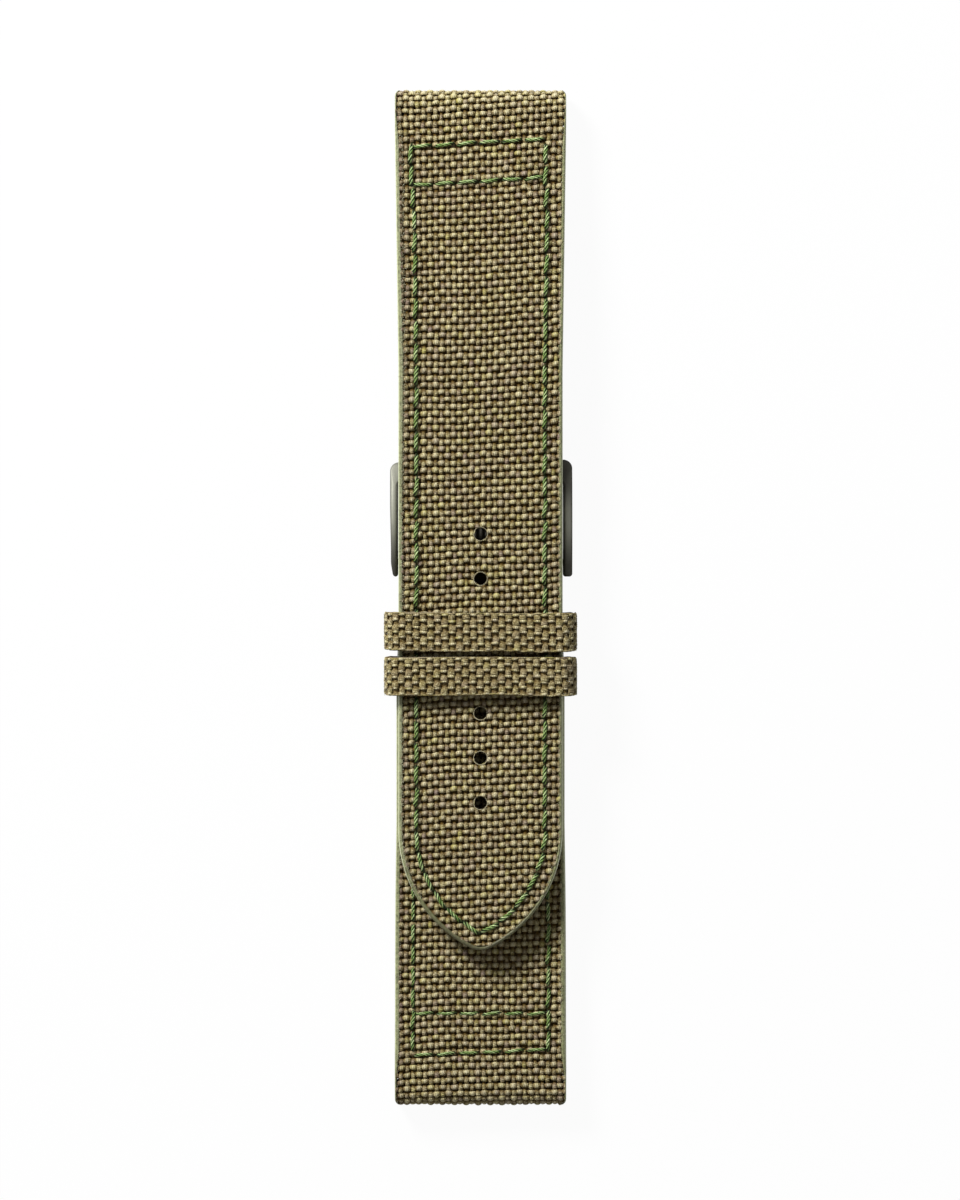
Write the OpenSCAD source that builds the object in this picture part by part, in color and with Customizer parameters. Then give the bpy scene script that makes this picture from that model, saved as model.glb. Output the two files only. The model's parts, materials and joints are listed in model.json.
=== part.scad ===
// Two-piece canvas watch strap with a pin buckle on a telescoping spring bar, and two keepers.
// It lies as it would on a table: the long piece passes over the buckle and through both keepers.
// X runs across the strap, Y along it towards the long piece's watch end, and z = 0 is the table.

/* [Strap lengths and widths] */
// Width at the watch ends
lug_w = 23; // [20:0.5:25]
// Width along the tail and at the buckle
tail_w = 22; // [18:0.5:23]
// Stretch at each watch end that keeps its full width
full_width_len = 5; // [3:0.5:8]
// Distance from each watch end to where the taper stops
taper_len = 38; // [25:1:45]
// Long piece, from its watch end to its tip
long_len = 115.4; // [108:0.1:125]
// Short piece, from its watch end to the axis of the buckle bar
short_len = 73; // [68:0.5:80]
// How far the tip lies past the buckle bar
tuck = 52; // [48:0.5:56]
// Radius of the curved sides of the tip
tip_side_r = 17.6; // [14:0.2:24]
// Radius of the blunt nose of the tip
nose_r = 14; // [11.8:0.1:16]

/* [Layers] */
// Face canvas
canvas_t = 0.8; // [0.5:0.05:1.1]
// Padding along the tail
tail_core_t = 1.04; // [0.6:0.02:1.6]
// Leather lining
lining_t = 0.8; // [0.5:0.05:1.1]
// Glue line between neighbouring layers
bond = 0.03; // [0.02:0.01:0.06]
// Width of the painted edge seal
edge_w = 0.5; // [0.3:0.05:0.9]
// How far the edge seal stays below the canvas and above the lining
edge_step = 0.12; // [0.05:0.01:0.2]
// Canvas turned under at the watch ends
turn_under = 9; // [6:0.5:12]

/* [Watch ends] */
// Radius of the tunnel for the watch's own spring bar
tunnel_r = 1; // [0.9:0.05:1.3]
// Wall of the sleeve that lines the tunnel
sleeve_wall = 0.35; // [0.2:0.05:0.6]
// Length over which the short piece's padding thins out
short_pad_len = 20; // [14:1:24]

/* [Stitching] */
// Distance of the seam from the edge
seam_inset = 2.4; // [1.8:0.1:3.2]
// Length from one stitch to the next
stitch_pitch = 2.95; // [2.2:0.05:4]
// Thread showing in each stitch
stitch_len = 2.3; // [1.5:0.05:2.7]
// Radius of the needle thread
thread_r = 0.3; // [0.2:0.02:0.36]
// Radius of the bobbin thread
bobbin_r = 0.2; // [0.14:0.02:0.24]
// First cross row of stitches, from the watch end
row_start = 7.2; // [6:0.1:10]
// Gap between the two cross rows
row_gap = 5.2; // [4:0.1:7]
// Rise of the long piece's cross rows from left to right
row_rise = 1.1; // [0:0.1:1.5]

/* [Holes] */
// Number of holes in the tail
hole_count = 7; // [5:1:9]
// Distance between holes
hole_pitch = 6; // [5:0.1:7]
// Radius of a hole
hole_r = 0.9; // [0.7:0.05:1.1]
// Distance of the nearest hole from the tip
tip_to_hole = 19.7; // [18:0.1:24]

/* [Keepers] */
// Width of a keeper along the strap
keeper_w = 5.4; // [4:0.1:7]
// Canvas of a keeper
keeper_canvas_t = 0.65; // [0.5:0.05:0.8]
// Lining of a keeper
keeper_lining_t = 0.47; // [0.3:0.01:0.6]
// Room between the strap's edge and the keeper's side
keeper_side_gap = 0.95; // [0.5:0.05:1.5]
// Running gap of the free keeper under the strap
keeper_slip = 0.15; // [0.1:0.01:0.3]
// Room over the tail's stitching inside a keeper
keeper_head_gap = 0.25; // [0.2:0.01:0.5]
// Corner radius of a keeper
keeper_corner_r = 2.2; // [1.6:0.1:3]
// Distance from the buckle bar to the fixed keeper
keeper_back = 6.75; // [6.3:0.05:9]
// Gap between the two keepers
keeper_gap = 0.55; // [0.3:0.05:3]

/* [Buckle] */
// Thickness of the buckle frame's arms across the strap
arm_t = 1.05; // [0.8:0.05:1.6]
// Gap between an arm and the strap
arm_gap = 0.2; // [0.15:0.01:0.4]
// Distance from the bar's axis to the far edge of the frame
frame_reach = 13.6; // [12.5:0.1:15]
// Width of the frame's outer bar
outer_bar_w = 3; // [2:0.1:3.6]
// Height of the frame at its far edge
front_h = 1.35; // [1.1:0.05:1.6]
// Height of the frame's arch above the short piece's face
crest_rise = 0.2; // [0.1:0.05:0.5]
// Height of the hollow under the frame's arch
hollow_h = 1.4; // [1:0.05:1.7]
// Radius of the rounded arm ends
arm_end_r = 2; // [1.75:0.05:2.1]
// Corner radius of the frame at its far edge
frame_corner_r = 1.2; // [0.6:0.1:2]
// Width of the tongue
tongue_w = 1.7; // [1.2:0.1:1.9]
// Thickness of the tongue
tongue_t = 0.85; // [0.7:0.05:1]
// Wall of the tongue's eye
eye_wall = 0.55; // [0.4:0.05:0.75]

/* [Spring bar] */
// Radius of the tube
tube_r = 0.75; // [0.65:0.01:0.85]
// Wall of the tube
tube_wall = 0.2; // [0.15:0.01:0.22]
// Radius of the pins at the two tips
pin_r = 0.4; // [0.3:0.01:0.42]
// Running clearance round the pins, the plungers and the tongue's eye
run_gap = 0.05; // [0.03:0.01:0.08]
// Clearance of the tube in the canvas loop
loop_gap = 0.1; // [0.06:0.01:0.15]
// Length of the plunger on each tip
plunger_len = 1.4; // [1:0.1:2.5]
// Radius of the spring's wire
wire_r = 0.08; // [0.06:0.01:0.09]
// Number of coils in the spring
spring_turns = 12; // [6:1:16]

/* [Hidden] */
$fn = 64;

LONG = 0;
SHORT = 1;
FACE = 1;
BACK = -1;
CANVAS_COLOUR = "#71674b";
LINING_COLOUR = "#6b6048";
CORE_COLOUR = "#8a8470";
EDGE_COLOUR = "#a9a78b";
THREAD_COLOUR = "#4f7d3c";
METAL_COLOUR = "#5c594c";

// Places along the strap
laid_len = short_len + long_len - tuck;
long_end = laid_len / 2;
short_end = -laid_len / 2;
bar_y = short_end + short_len;
tip_y = bar_y - tuck;

// Thicknesses
sleeve_r = tunnel_r + sleeve_wall;
tail_t = canvas_t + tail_core_t + lining_t + 2 * bond;
lug_t = 2 * (sleeve_r + bond + canvas_t);
loop_in_r = tube_r + loop_gap;
loop_r = loop_in_r + canvas_t;
core_floor = max(canvas_t, lining_t) + bond;
keeper_t = keeper_canvas_t + keeper_lining_t + bond;

// Heights of the flat stretches
thread_sink = 0.4;
floor_gap = 0.02;
thread_proud = 2 * thread_r + floor_gap - thread_sink;
slide_gap = 0.15;
short_under = keeper_t + keeper_slip;
short_top = short_under + tail_t;
long_under = short_top + thread_proud + slide_gap;
long_top = long_under + tail_t;
keeper_roof = long_top + thread_proud + keeper_head_gap;

// Centres of the watch-end rolls and the buckle bar
long_bore_y = long_end - lug_t / 2;
short_bore_y = short_end + lug_t / 2;
bar_z = short_top - loop_r;

// Stretches that bend: the long piece comes down to the table, the short piece thickens
lift_off_y = bar_y + frame_reach - 2;
pad_start_y = short_bore_y + 6;
pad_end_y = pad_start_y + short_pad_len;
loop_run = 4;
loop_flap = 5.8;

// Outline of the tip
tip_centre_x = tip_side_r - tail_w / 2;
nose_cut = 0.35;
tip_len = sqrt(pow(tip_side_r, 2) - pow(tip_centre_x, 2));
tip_start_y = tip_y - nose_cut + tip_len;

// Seam
channel_w = 2 * thread_r + 0.2;
bobbin_channel_w = 2 * bobbin_r + 0.2;
bobbin_sink = 2 * bobbin_r + 0.04;
short_row_end = bar_y - 4.9;

// Keepers
keeper_in_w = tail_w + 2 * keeper_side_gap;
keeper_out_w = keeper_in_w + 2 * keeper_t;
fixed_keeper_y = bar_y - keeper_back;
free_keeper_y = fixed_keeper_y - keeper_w - keeper_gap;
butt_gap = 0.15;

// Buckle
frame_in = tail_w / 2 + arm_gap;
frame_out = frame_in + arm_t;
frame_far_y = bar_y + frame_reach;
outer_bar_y = frame_far_y - outer_bar_w;
crest_y = bar_y + 4.7;
frame_top = short_top + crest_rise;
frame_top_r = arc_r(frame_far_y - crest_y, frame_top - front_h);
frame_low_r = arc_r(crest_y - bar_y, hollow_h - (bar_z - arm_end_r));
tongue_gap = 0.25;
tongue_top = long_under - tongue_gap;
tongue_crest_y = bar_y + 5.7;
tongue_tip_y = frame_far_y - 0.1;
tongue_top_r = arc_r(tongue_tip_y - tongue_crest_y, tongue_top - front_h - tongue_t);
tongue_low_r = tongue_top_r - tongue_t;
tongue_centre_z = tongue_top - tongue_top_r;
eye_in_r = tube_r + run_gap;
eye_r = eye_in_r + eye_wall;
slot_w = tongue_w + 0.9;
slot_len = 4;

// Spring bar
tube_half = tail_w / 2 - 0.4;
tube_in_r = tube_r - tube_wall;
crimp_len = 0.5;
pin_end = frame_in + 0.75 * arm_t;
plunger_r = tube_in_r - run_gap;
plunger_end = tube_half - crimp_len - run_gap;
spring_half = plunger_end - plunger_len - wire_r - run_gap;
spring_r = plunger_r - wire_r - 0.02;

// Radius of an arc that falls by a drop over a half chord
function arc_r(half_chord, drop) = (half_chord * half_chord + drop * drop) / (2 * drop);
function clamp01(u) = min(1, max(0, u));
function ease(u) = let (v = clamp01(u)) v * v * (3 - 2 * v);
function backwards(list) = [for (i = [len(list) - 1:-1:0]) list[i]];

// Middle line and thickness of each piece at a place along the strap
function long_thick(y) = tail_t + (lug_t - tail_t) * ease((y - lift_off_y) / (long_bore_y - lift_off_y));
function long_mid(y) =
    let (u = clamp01((y - lift_off_y) / (long_bore_y - lift_off_y)))
    lug_t / 2 + (long_under + tail_t / 2 - lug_t / 2) * (1 - u * u * (3 - u) / 2);
function short_face(y) = short_top + (lug_t - short_top) * (1 - ease((y - pad_start_y + 2) / 14));
function short_back(y) =
    short_under * ease((y - pad_start_y) / short_pad_len)
    - (short_under - bar_z + loop_r) * ease((y - bar_y + loop_run) / loop_run);
function thick(piece, y) = piece == LONG ? long_thick(y) : short_face(y) - short_back(y);
function mid(piece, y) = piece == LONG ? long_mid(y) : (short_face(y) + short_back(y)) / 2;
function tilt(piece, y) = atan((mid(piece, y) - mid(piece, y - 0.01)) / 0.01);

// A point of the side view at a depth below the face, or above the back
function at(piece, y, side, depth) =
    let (a = tilt(piece, y), off = side * (thick(piece, y) / 2 - depth))
    [y - off * sin(a), mid(piece, y) + off * cos(a)];
function stations(piece) = piece == LONG
    ? concat([tip_y - 1], steps(lift_off_y, long_bore_y, 16))
    : concat(steps(short_bore_y, pad_end_y, 14), steps(bar_y - loop_run, bar_y, 5));
// The same at a true distance along the strap, and the slope of the surface there
function surface_at(piece, y, side, depth) =
    at(piece, y + side * (thick(piece, y) / 2 - depth) * sin(tilt(piece, y)), side, depth);
function surface_tilt(piece, y, side, depth) =
    let (a = at(piece, y - stitch_len / 2, side, depth), b = at(piece, y + stitch_len / 2, side, depth))
    atan2(b[1] - a[1], b[0] - a[0]);
function steps(from, to, count) = [for (i = [0:count]) from + (to - from) * i / count];
function line(piece, side, depth) = [for (y = stations(piece)) at(piece, y, side, depth)];
function flap(piece, from, to, depth) = [for (y = steps(from, to, 4)) at(piece, y, BACK, depth)];
function roll(y, z, r, from, to) =
    [for (i = [1:15]) let (a = from + (to - from) * i / 16) [y + r * cos(a), z + r * sin(a)]];

// Rolls of the three looped ends at a depth below the outside of the canvas
function long_roll(depth) =
    let (a = tilt(LONG, long_bore_y))
    roll(long_bore_y, lug_t / 2, lug_t / 2 - depth, 90 + a, a - 90);
function short_roll(depth) =
    let (a = tilt(SHORT, short_bore_y))
    roll(short_bore_y, lug_t / 2, lug_t / 2 - depth, 270 + a, 90 + a);
function loop_roll(depth) = roll(bar_y, bar_z, loop_r - depth, 90, -90);

// The path of the face canvas at a depth below its outside, turned under at the looped ends
function canvas_path(piece, depth) = piece == LONG
    ? concat(line(LONG, FACE, depth), long_roll(depth),
        flap(LONG, long_bore_y, long_bore_y - turn_under, depth))
    : concat(flap(SHORT, short_bore_y + turn_under, short_bore_y, depth), short_roll(depth),
        line(SHORT, FACE, depth), loop_roll(depth), flap(SHORT, bar_y, bar_y - loop_flap, depth));

module canvas_side(piece)
    polygon(concat(canvas_path(piece, 0), backwards(canvas_path(piece, canvas_t))));

// The whole side view of a piece, less a depth all round
module whole_side(piece, depth)
    if (piece == LONG)
        polygon(concat(line(LONG, FACE, depth), long_roll(depth), backwards(line(LONG, BACK, depth))));
    else
        polygon(concat(short_roll(depth), line(SHORT, FACE, depth), loop_roll(depth),
            backwards(line(SHORT, BACK, depth))));

// A layer between a depth below the face and a depth above the back, from one place to another
module layer_side(piece, face_depth, back_depth, from, to)
    intersection() {
        polygon(concat(line(piece, FACE, face_depth), backwards(line(piece, BACK, back_depth))));
        polygon([at(piece, from, BACK, -2), at(piece, to, BACK, -2), at(piece, to, FACE, -2),
            at(piece, from, FACE, -2)]);
    }

// A skin of given depth at the face or at the back
module skin_side(piece, side, depth)
    polygon(concat(line(piece, side, -0.5), backwards(line(piece, side, depth))));

// Half width of a piece, as the tapered polygon of its outline
module outline(piece, inset)
    if (piece == LONG) {
        polygon([
            [-tail_w / 2 + inset, tip_start_y], [tail_w / 2 - inset, tip_start_y],
            [tail_w / 2 - inset, long_end - taper_len], [lug_w / 2 - inset, long_end - full_width_len],
            [lug_w / 2 - inset, long_end + 1], [-lug_w / 2 + inset, long_end + 1],
            [-lug_w / 2 + inset, long_end - full_width_len], [-tail_w / 2 + inset, long_end - taper_len]
        ]);
        intersection() {
            polygon([[-tail_w, tip_y - 1], [tail_w, tip_y - 1], [tail_w, tip_start_y],
                [-tail_w, tip_start_y]]);
            translate([tip_centre_x, tip_start_y]) circle(tip_side_r - inset, $fn = 256);
            translate([-tip_centre_x, tip_start_y]) circle(tip_side_r - inset, $fn = 256);
            translate([0, tip_y + nose_r]) circle(nose_r - inset, $fn = 256);
        }
    } else
        polygon([
            [-lug_w / 2 + inset, short_end - 1], [lug_w / 2 - inset, short_end - 1],
            [lug_w / 2 - inset, short_end + full_width_len], [tail_w / 2 - inset, short_end + taper_len],
            [tail_w / 2 - inset, bar_y + 3], [-tail_w / 2 + inset, bar_y + 3],
            [-tail_w / 2 + inset, short_end + taper_len], [-lug_w / 2 + inset, short_end + full_width_len]
        ]);

// Extrusions: a side view across the strap, and an outline upwards
module across(width = 2 * lug_w) rotate([90, 0, 90]) linear_extrude(width, center = true) children();
module upwards() translate([0, 0, -2]) linear_extrude(20) children();
module cross_pin(y, z, r, width = 2 * lug_w)
    translate([0, y, z]) rotate([0, 90, 0]) cylinder(r = r, h = width, center = true);

// Seam: two side lines that follow the edge, cross rows, and the curved lines of the tip
function lug_sign(piece) = piece == LONG ? 1 : -1;
function lug_end(piece) = piece == LONG ? long_end : short_end;
function bore_y(piece) = piece == LONG ? long_bore_y : short_bore_y;
function half_width(piece, y) =
    let (from_end = abs(lug_end(piece) - y))
    tail_w / 2 + (lug_w - tail_w) / 2 * clamp01((taper_len - from_end) / (taper_len - full_width_len));
function seam_x(piece, y) = half_width(piece, y) - seam_inset;
function row_y(piece, k) = lug_end(piece) - lug_sign(piece) * (row_start + k * row_gap);
function seam_stop(piece) = piece == LONG ? tip_start_y : short_row_end;
seam_tip_r = tip_side_r - seam_inset;
seam_tip_angle = acos(tip_centre_x / seam_tip_r);
tip_stitches = round(seam_tip_r * seam_tip_angle * PI / 180 / stitch_pitch);

// Each stitch is its place across and along the strap and its heading from +Y
function side_stitches(piece) =
    let (from = row_y(piece, 0), run = abs(seam_stop(piece) - from),
        count = round(run / stitch_pitch), step = lug_sign(piece) * run / count)
    [for (s = [-1, 1], i = [0:count - 1])
        let (y = from - step * (i + 0.5)) [s * seam_x(piece, y), y, 0]];
function row_stitches(piece, y, rise) =
    let (x = seam_x(piece, y), count = round(2 * x / stitch_pitch), step = 2 * x / count)
    [for (i = [0:count - 1])
        let (px = -x + step * (i + 0.5)) [px, y + rise * px / (2 * x), 90 - atan(rise / (2 * x))]];
function tip_stitch_list() =
    [for (s = [-1, 1], i = [0:tip_stitches - 1])
        let (a = seam_tip_angle * (i + 0.5) / tip_stitches)
        [s * (seam_tip_r * cos(a) - tip_centre_x), tip_start_y - seam_tip_r * sin(a), s * a]];
function stitches(piece) = piece == LONG
    ? concat(side_stitches(LONG), tip_stitch_list(),
        row_stitches(LONG, row_y(LONG, 0), row_rise), row_stitches(LONG, row_y(LONG, 1), row_rise))
    : concat(side_stitches(SHORT), row_stitches(SHORT, row_y(SHORT, 0), 0),
        row_stitches(SHORT, row_y(SHORT, 1), 0), row_stitches(SHORT, short_row_end, 0));

// Channel that the thread lies in, pressed into the face or the back
module seam_plan(piece, width) {
    far = seam_stop(piece);
    near = row_y(piece, 0);
    intersection() {
        difference() {
            outline(piece, seam_inset - width / 2);
            outline(piece, seam_inset + width / 2);
        }
        if (piece == LONG)
            polygon([[-lug_w, tip_y - 1], [lug_w, tip_y - 1], [lug_w, near], [-lug_w, near]]);
        else
            polygon([[-lug_w, near], [lug_w, near], [lug_w, far], [-lug_w, far]]);
    }
}
module row_plan(piece, y, rise, width)
    let (x = seam_x(piece, y) + width / 2, lift = rise * 0.5)
    polygon([[-x, y - lift - width / 2], [x, y + lift - width / 2], [x, y + lift + width / 2],
        [-x, y - lift + width / 2]]);
module channel(piece, side, depth, width) {
    rise = piece == LONG ? row_rise : 0;
    intersection() {
        across() skin_side(piece, side, depth);
        upwards() seam_plan(piece, width);
    }
    for (k = [0, 1]) intersection() {
        across() skin_side(piece, side, depth);
        upwards() row_plan(piece, row_y(piece, k), rise, width);
    }
    if (piece == SHORT) intersection() {
        across() skin_side(piece, side, depth);
        upwards() row_plan(piece, short_row_end, 0, width);
    }
}

// One stitch: a thread lying along +Y with its ends drawn in
module thread_float(r, length)
    rotate([-90, 0, 0]) rotate_extrude($fn = 24)
        polygon([[0, -length / 2], [0.5 * r, -length / 2], [r, -length / 2 + r], [r, length / 2 - r],
            [0.5 * r, length / 2], [0, length / 2]]);
module seam(piece, side, r, depth)
    for (s = stitches(piece)) {
        p = surface_at(piece, s[1], side, depth);
        translate([s[0], p[0], p[1]]) rotate([surface_tilt(piece, s[1], side, depth), 0, 0])
            rotate([0, 0, -s[2]]) thread_float(r, stitch_len);
    }

// Round holes of the tail
module tail_holes()
    for (i = [0:hole_count - 1]) translate([0, tip_y + tip_to_hole + i * hole_pitch, -1])
        cylinder(r = hole_r, h = 20);

// Slot that lets the tongue swing at the buckle end, with a round inner end
module tongue_slot() {
    translate([-slot_w / 2, bar_y - slot_len + slot_w / 2, -1]) cube([slot_w, 2 * slot_len, 20]);
    translate([0, bar_y - slot_len + slot_w / 2, -1]) cylinder(d = slot_w, h = 20);
}

module face_canvas(piece) color(CANVAS_COLOUR) difference() {
    intersection() {
        across() canvas_side(piece);
        upwards() outline(piece, edge_w + bond);
    }
    channel(piece, FACE, thread_sink, channel_w);
    channel(piece, BACK, bobbin_sink, bobbin_channel_w);
    cross_pin(bore_y(piece), lug_t / 2, sleeve_r + bond);
    if (piece == LONG) tail_holes();
    else {
        tongue_slot();
        cross_pin(bar_y, bar_z, loop_in_r);
    }
}

module core(piece) color(CORE_COLOUR) {
    roll_gap = 1;
    from = piece == LONG ? tip_y - 1 : short_bore_y + roll_gap;
    to = piece == LONG ? long_bore_y - roll_gap : bar_y - 1.1;
    difference() {
        intersection() {
            across() layer_side(piece, canvas_t + bond, core_floor, from, to);
            upwards() outline(piece, edge_w + bond);
        }
        cross_pin(bore_y(piece), lug_t / 2, sleeve_r + bond);
        if (piece == LONG) tail_holes();
        else {
            tongue_slot();
            cross_pin(bar_y, bar_z, loop_in_r);
        }
    }
}

module lining(piece) color(LINING_COLOUR) {
    from = piece == LONG ? tip_y - 1 : short_bore_y + turn_under + bond;
    to = piece == LONG ? long_bore_y - turn_under - bond : bar_y - loop_flap - bond;
    difference() {
        intersection() {
            across() intersection() {
                skin_side(piece, BACK, lining_t);
                layer_side(piece, 0, 0, from, to);
            }
            upwards() outline(piece, edge_w + bond);
        }
        channel(piece, BACK, bobbin_sink, bobbin_channel_w);
        if (piece == LONG) tail_holes();
    }
}

module edge_seal(piece) color(EDGE_COLOUR) difference() {
    intersection() {
        across() whole_side(piece, edge_step);
        upwards() difference() {
            outline(piece, 0);
            outline(piece, edge_w);
        }
    }
    cross_pin(bore_y(piece), lug_t / 2, sleeve_r + bond);
    if (piece == SHORT) cross_pin(bar_y, bar_z, loop_in_r);
}

module lug_sleeve(piece) color(CORE_COLOUR) difference() {
    cross_pin(bore_y(piece), lug_t / 2, sleeve_r, lug_w);
    cross_pin(bore_y(piece), lug_t / 2, tunnel_r);
}

module long_face_canvas() face_canvas(LONG);
module long_core() core(LONG);
module long_lining() lining(LONG);
module long_edge_seal() edge_seal(LONG);
module long_lug_sleeve() lug_sleeve(LONG);
module long_stitching() color(THREAD_COLOUR)
    seam(LONG, FACE, thread_r, thread_sink - floor_gap - thread_r);
module long_bobbin_thread() color(THREAD_COLOUR)
    seam(LONG, BACK, bobbin_r, bobbin_sink - floor_gap - bobbin_r);

module short_face_canvas() face_canvas(SHORT);
module short_core() core(SHORT);
module short_lining() lining(SHORT);
module short_edge_seal() edge_seal(SHORT);
module short_lug_sleeve() lug_sleeve(SHORT);
module short_stitching() color(THREAD_COLOUR)
    seam(SHORT, FACE, thread_r, thread_sink - floor_gap - thread_r);
module short_bobbin_thread() color(THREAD_COLOUR)
    seam(SHORT, BACK, bobbin_r, bobbin_sink - floor_gap - bobbin_r);

// Rectangle with round corners, centred across, from one height to another
module round_box(width, low, high, r) {
    translate([-width / 2 + r, low]) square([width - 2 * r, high - low]);
    translate([-width / 2, low + r]) square([width, high - low - 2 * r]);
    for (x = [-width / 2 + r, width / 2 - r], z = [low + r, high - r]) translate([x, z]) circle(r);
}

// One layer of a keeper: a band bent round the strap, between two insets from its outside
module keeper_layer(y, low, outer, inner)
    translate([0, y, 0]) rotate([90, 0, 0]) linear_extrude(keeper_w) difference() {
        round_box(keeper_out_w - 2 * outer, low + outer, keeper_roof + keeper_t - outer,
            keeper_corner_r - outer);
        round_box(keeper_out_w - 2 * inner, low + inner, keeper_roof + keeper_t - inner,
            keeper_corner_r - inner);
    }
module keeper_canvas(y, low) color(CANVAS_COLOUR) difference() {
    keeper_layer(y, low, 0, keeper_canvas_t);
    translate([-butt_gap / 2, y - 2 * keeper_w, low - 1]) cube([butt_gap, 3 * keeper_w, 2.5]);
}
module keeper_lining(y, low) color(LINING_COLOUR)
    keeper_layer(y, low, keeper_canvas_t + bond, keeper_t);

module fixed_keeper_canvas() keeper_canvas(fixed_keeper_y, keeper_slip - bond);
module fixed_keeper_lining() keeper_lining(fixed_keeper_y, keeper_slip - bond);
module free_keeper_canvas() keeper_canvas(free_keeper_y, 0);
module free_keeper_lining() keeper_lining(free_keeper_y, 0);

// Side view of the frame: an arch whose ends are the outer bar and the round arm ends
module frame_side() {
    intersection() {
        translate([crest_y, frame_top - frame_top_r]) circle(frame_top_r, $fn = 256);
        difference() {
            polygon([[bar_y, 0], [frame_far_y, 0], [frame_far_y, 8], [bar_y, 8]]);
            translate([crest_y, hollow_h - frame_low_r]) circle(frame_low_r, $fn = 256);
        }
    }
    intersection() {
        translate([crest_y, frame_top - frame_top_r]) circle(frame_top_r, $fn = 256);
        translate([bar_y, bar_z]) circle(arm_end_r);
        polygon([[bar_y - 4, -1], [bar_y, -1], [bar_y, 8], [bar_y - 4, 8]]);
    }
}

// Plan of the frame: a U that opens towards the strap, with round outer corners
module frame_plan() difference() {
    union() {
        polygon([[-frame_out, bar_y - 4], [frame_out, bar_y - 4],
            [frame_out, frame_far_y - frame_corner_r], [-frame_out, frame_far_y - frame_corner_r]]);
        translate([-frame_out + frame_corner_r, frame_far_y - 2 * frame_corner_r])
            square([2 * (frame_out - frame_corner_r), 2 * frame_corner_r]);
        for (s = [-1, 1])
            translate([s * (frame_out - frame_corner_r), frame_far_y - frame_corner_r])
                circle(frame_corner_r);
    }
    polygon([[-frame_in, bar_y - 5], [frame_in, bar_y - 5], [frame_in, outer_bar_y],
        [-frame_in, outer_bar_y]]);
}

module buckle_frame() color(METAL_COLOUR) difference() {
    intersection() {
        across() frame_side();
        upwards() frame_plan();
    }
    cross_pin(bar_y, bar_z, pin_r + run_gap);
    // Shallow notch that the tongue rests in
    difference() {
        translate([-tongue_w / 2 - 0.25, outer_bar_y - 1, 0]) cube([tongue_w + 0.5, 2 * outer_bar_w, 8]);
        cross_pin(tongue_crest_y, tongue_centre_z, tongue_low_r - run_gap);
    }
}

// Tongue: an eye round the bar and an arched finger that rests on the outer bar
module buckle_tongue() color(METAL_COLOUR) difference() {
    union() {
        cross_pin(bar_y, bar_z, eye_r, tongue_w);
        intersection() {
            difference() {
                cross_pin(tongue_crest_y, tongue_centre_z, tongue_top_r, tongue_w);
                cross_pin(tongue_crest_y, tongue_centre_z, tongue_low_r);
            }
            upwards() intersection() {
                polygon([[-tongue_w / 2, bar_y], [tongue_w / 2, bar_y],
                    [0.38 * tongue_w, tongue_tip_y], [-0.38 * tongue_w, tongue_tip_y]]);
                translate([0, tongue_tip_y - 2 * frame_reach]) circle(2 * frame_reach, $fn = 256);
            }
        }
    }
    cross_pin(bar_y, bar_z, eye_in_r);
}

// Spring bar: a tube crimped at both ends, two plungers with pins, and the coil between them
module buckle_bar_tube() color(METAL_COLOUR) difference() {
    cross_pin(bar_y, bar_z, tube_r, 2 * tube_half);
    cross_pin(bar_y, bar_z, tube_in_r, 2 * (tube_half - crimp_len));
    cross_pin(bar_y, bar_z, pin_r + run_gap);
}
module bar_tip(side) color(METAL_COLOUR) translate([0, bar_y, bar_z]) rotate([0, side * 90, 0])
    rotate_extrude() polygon([
        [0, plunger_end - plunger_len], [plunger_r, plunger_end - plunger_len],
        [plunger_r, plunger_end], [pin_r, plunger_end], [pin_r, pin_end - pin_r / 2],
        [pin_r / 2, pin_end], [0, pin_end]
    ]);
module buckle_bar_tip_left() bar_tip(-1);
module buckle_bar_tip_right() bar_tip(1);

module buckle_bar_spring() color("silver") translate([0, bar_y, bar_z]) {
    rings = 8 * spring_turns;
    sides = 6;
    pts = [for (i = [0:rings], k = [0:sides - 1])
        let (a = 360 * i / 8, b = 360 * k / sides, r = spring_r + wire_r * cos(b))
        [-spring_half + 2 * spring_half * i / rings + wire_r * sin(b), r * cos(a), r * sin(a)]];
    quads = [for (i = [0:rings - 1], k = [0:sides - 1])
        let (a = i * sides + k, b = i * sides + (k + 1) % sides) [a, b, b + sides, a + sides]];
    walls = [for (q = quads, t = [[q[0], q[1], q[2]], [q[0], q[2], q[3]]]) t];
    first = [for (k = [1:sides - 2]) [0, k + 1, k]];
    last = [for (k = [1:sides - 2]) [rings * sides, rings * sides + k, rings * sides + k + 1]];
    polyhedron(points = pts, faces = concat(walls, first, last));
}

long_face_canvas();
long_core();
long_lining();
long_edge_seal();
long_lug_sleeve();
long_stitching();
long_bobbin_thread();
short_face_canvas();
short_core();
short_lining();
short_edge_seal();
short_lug_sleeve();
short_stitching();
short_bobbin_thread();
fixed_keeper_canvas();
fixed_keeper_lining();
free_keeper_canvas();
free_keeper_lining();
buckle_frame();
buckle_tongue();
buckle_bar_tube();
buckle_bar_tip_left();
buckle_bar_tip_right();
buckle_bar_spring();
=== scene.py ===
# %% [markdown]
# # A canvas watch strap, dressed in Blender
# The real strap is coarse plain-woven canvas over a leather lining, sewn with green thread and
# sealed with paint along its edges. The long piece lies tucked over the buckle and through two
# keepers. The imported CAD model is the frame: every piece below is laid on it and rides on its
# bodies. All lengths are in millimetres until a mesh is made.

# %% Load the frame
import json
import math

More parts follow.
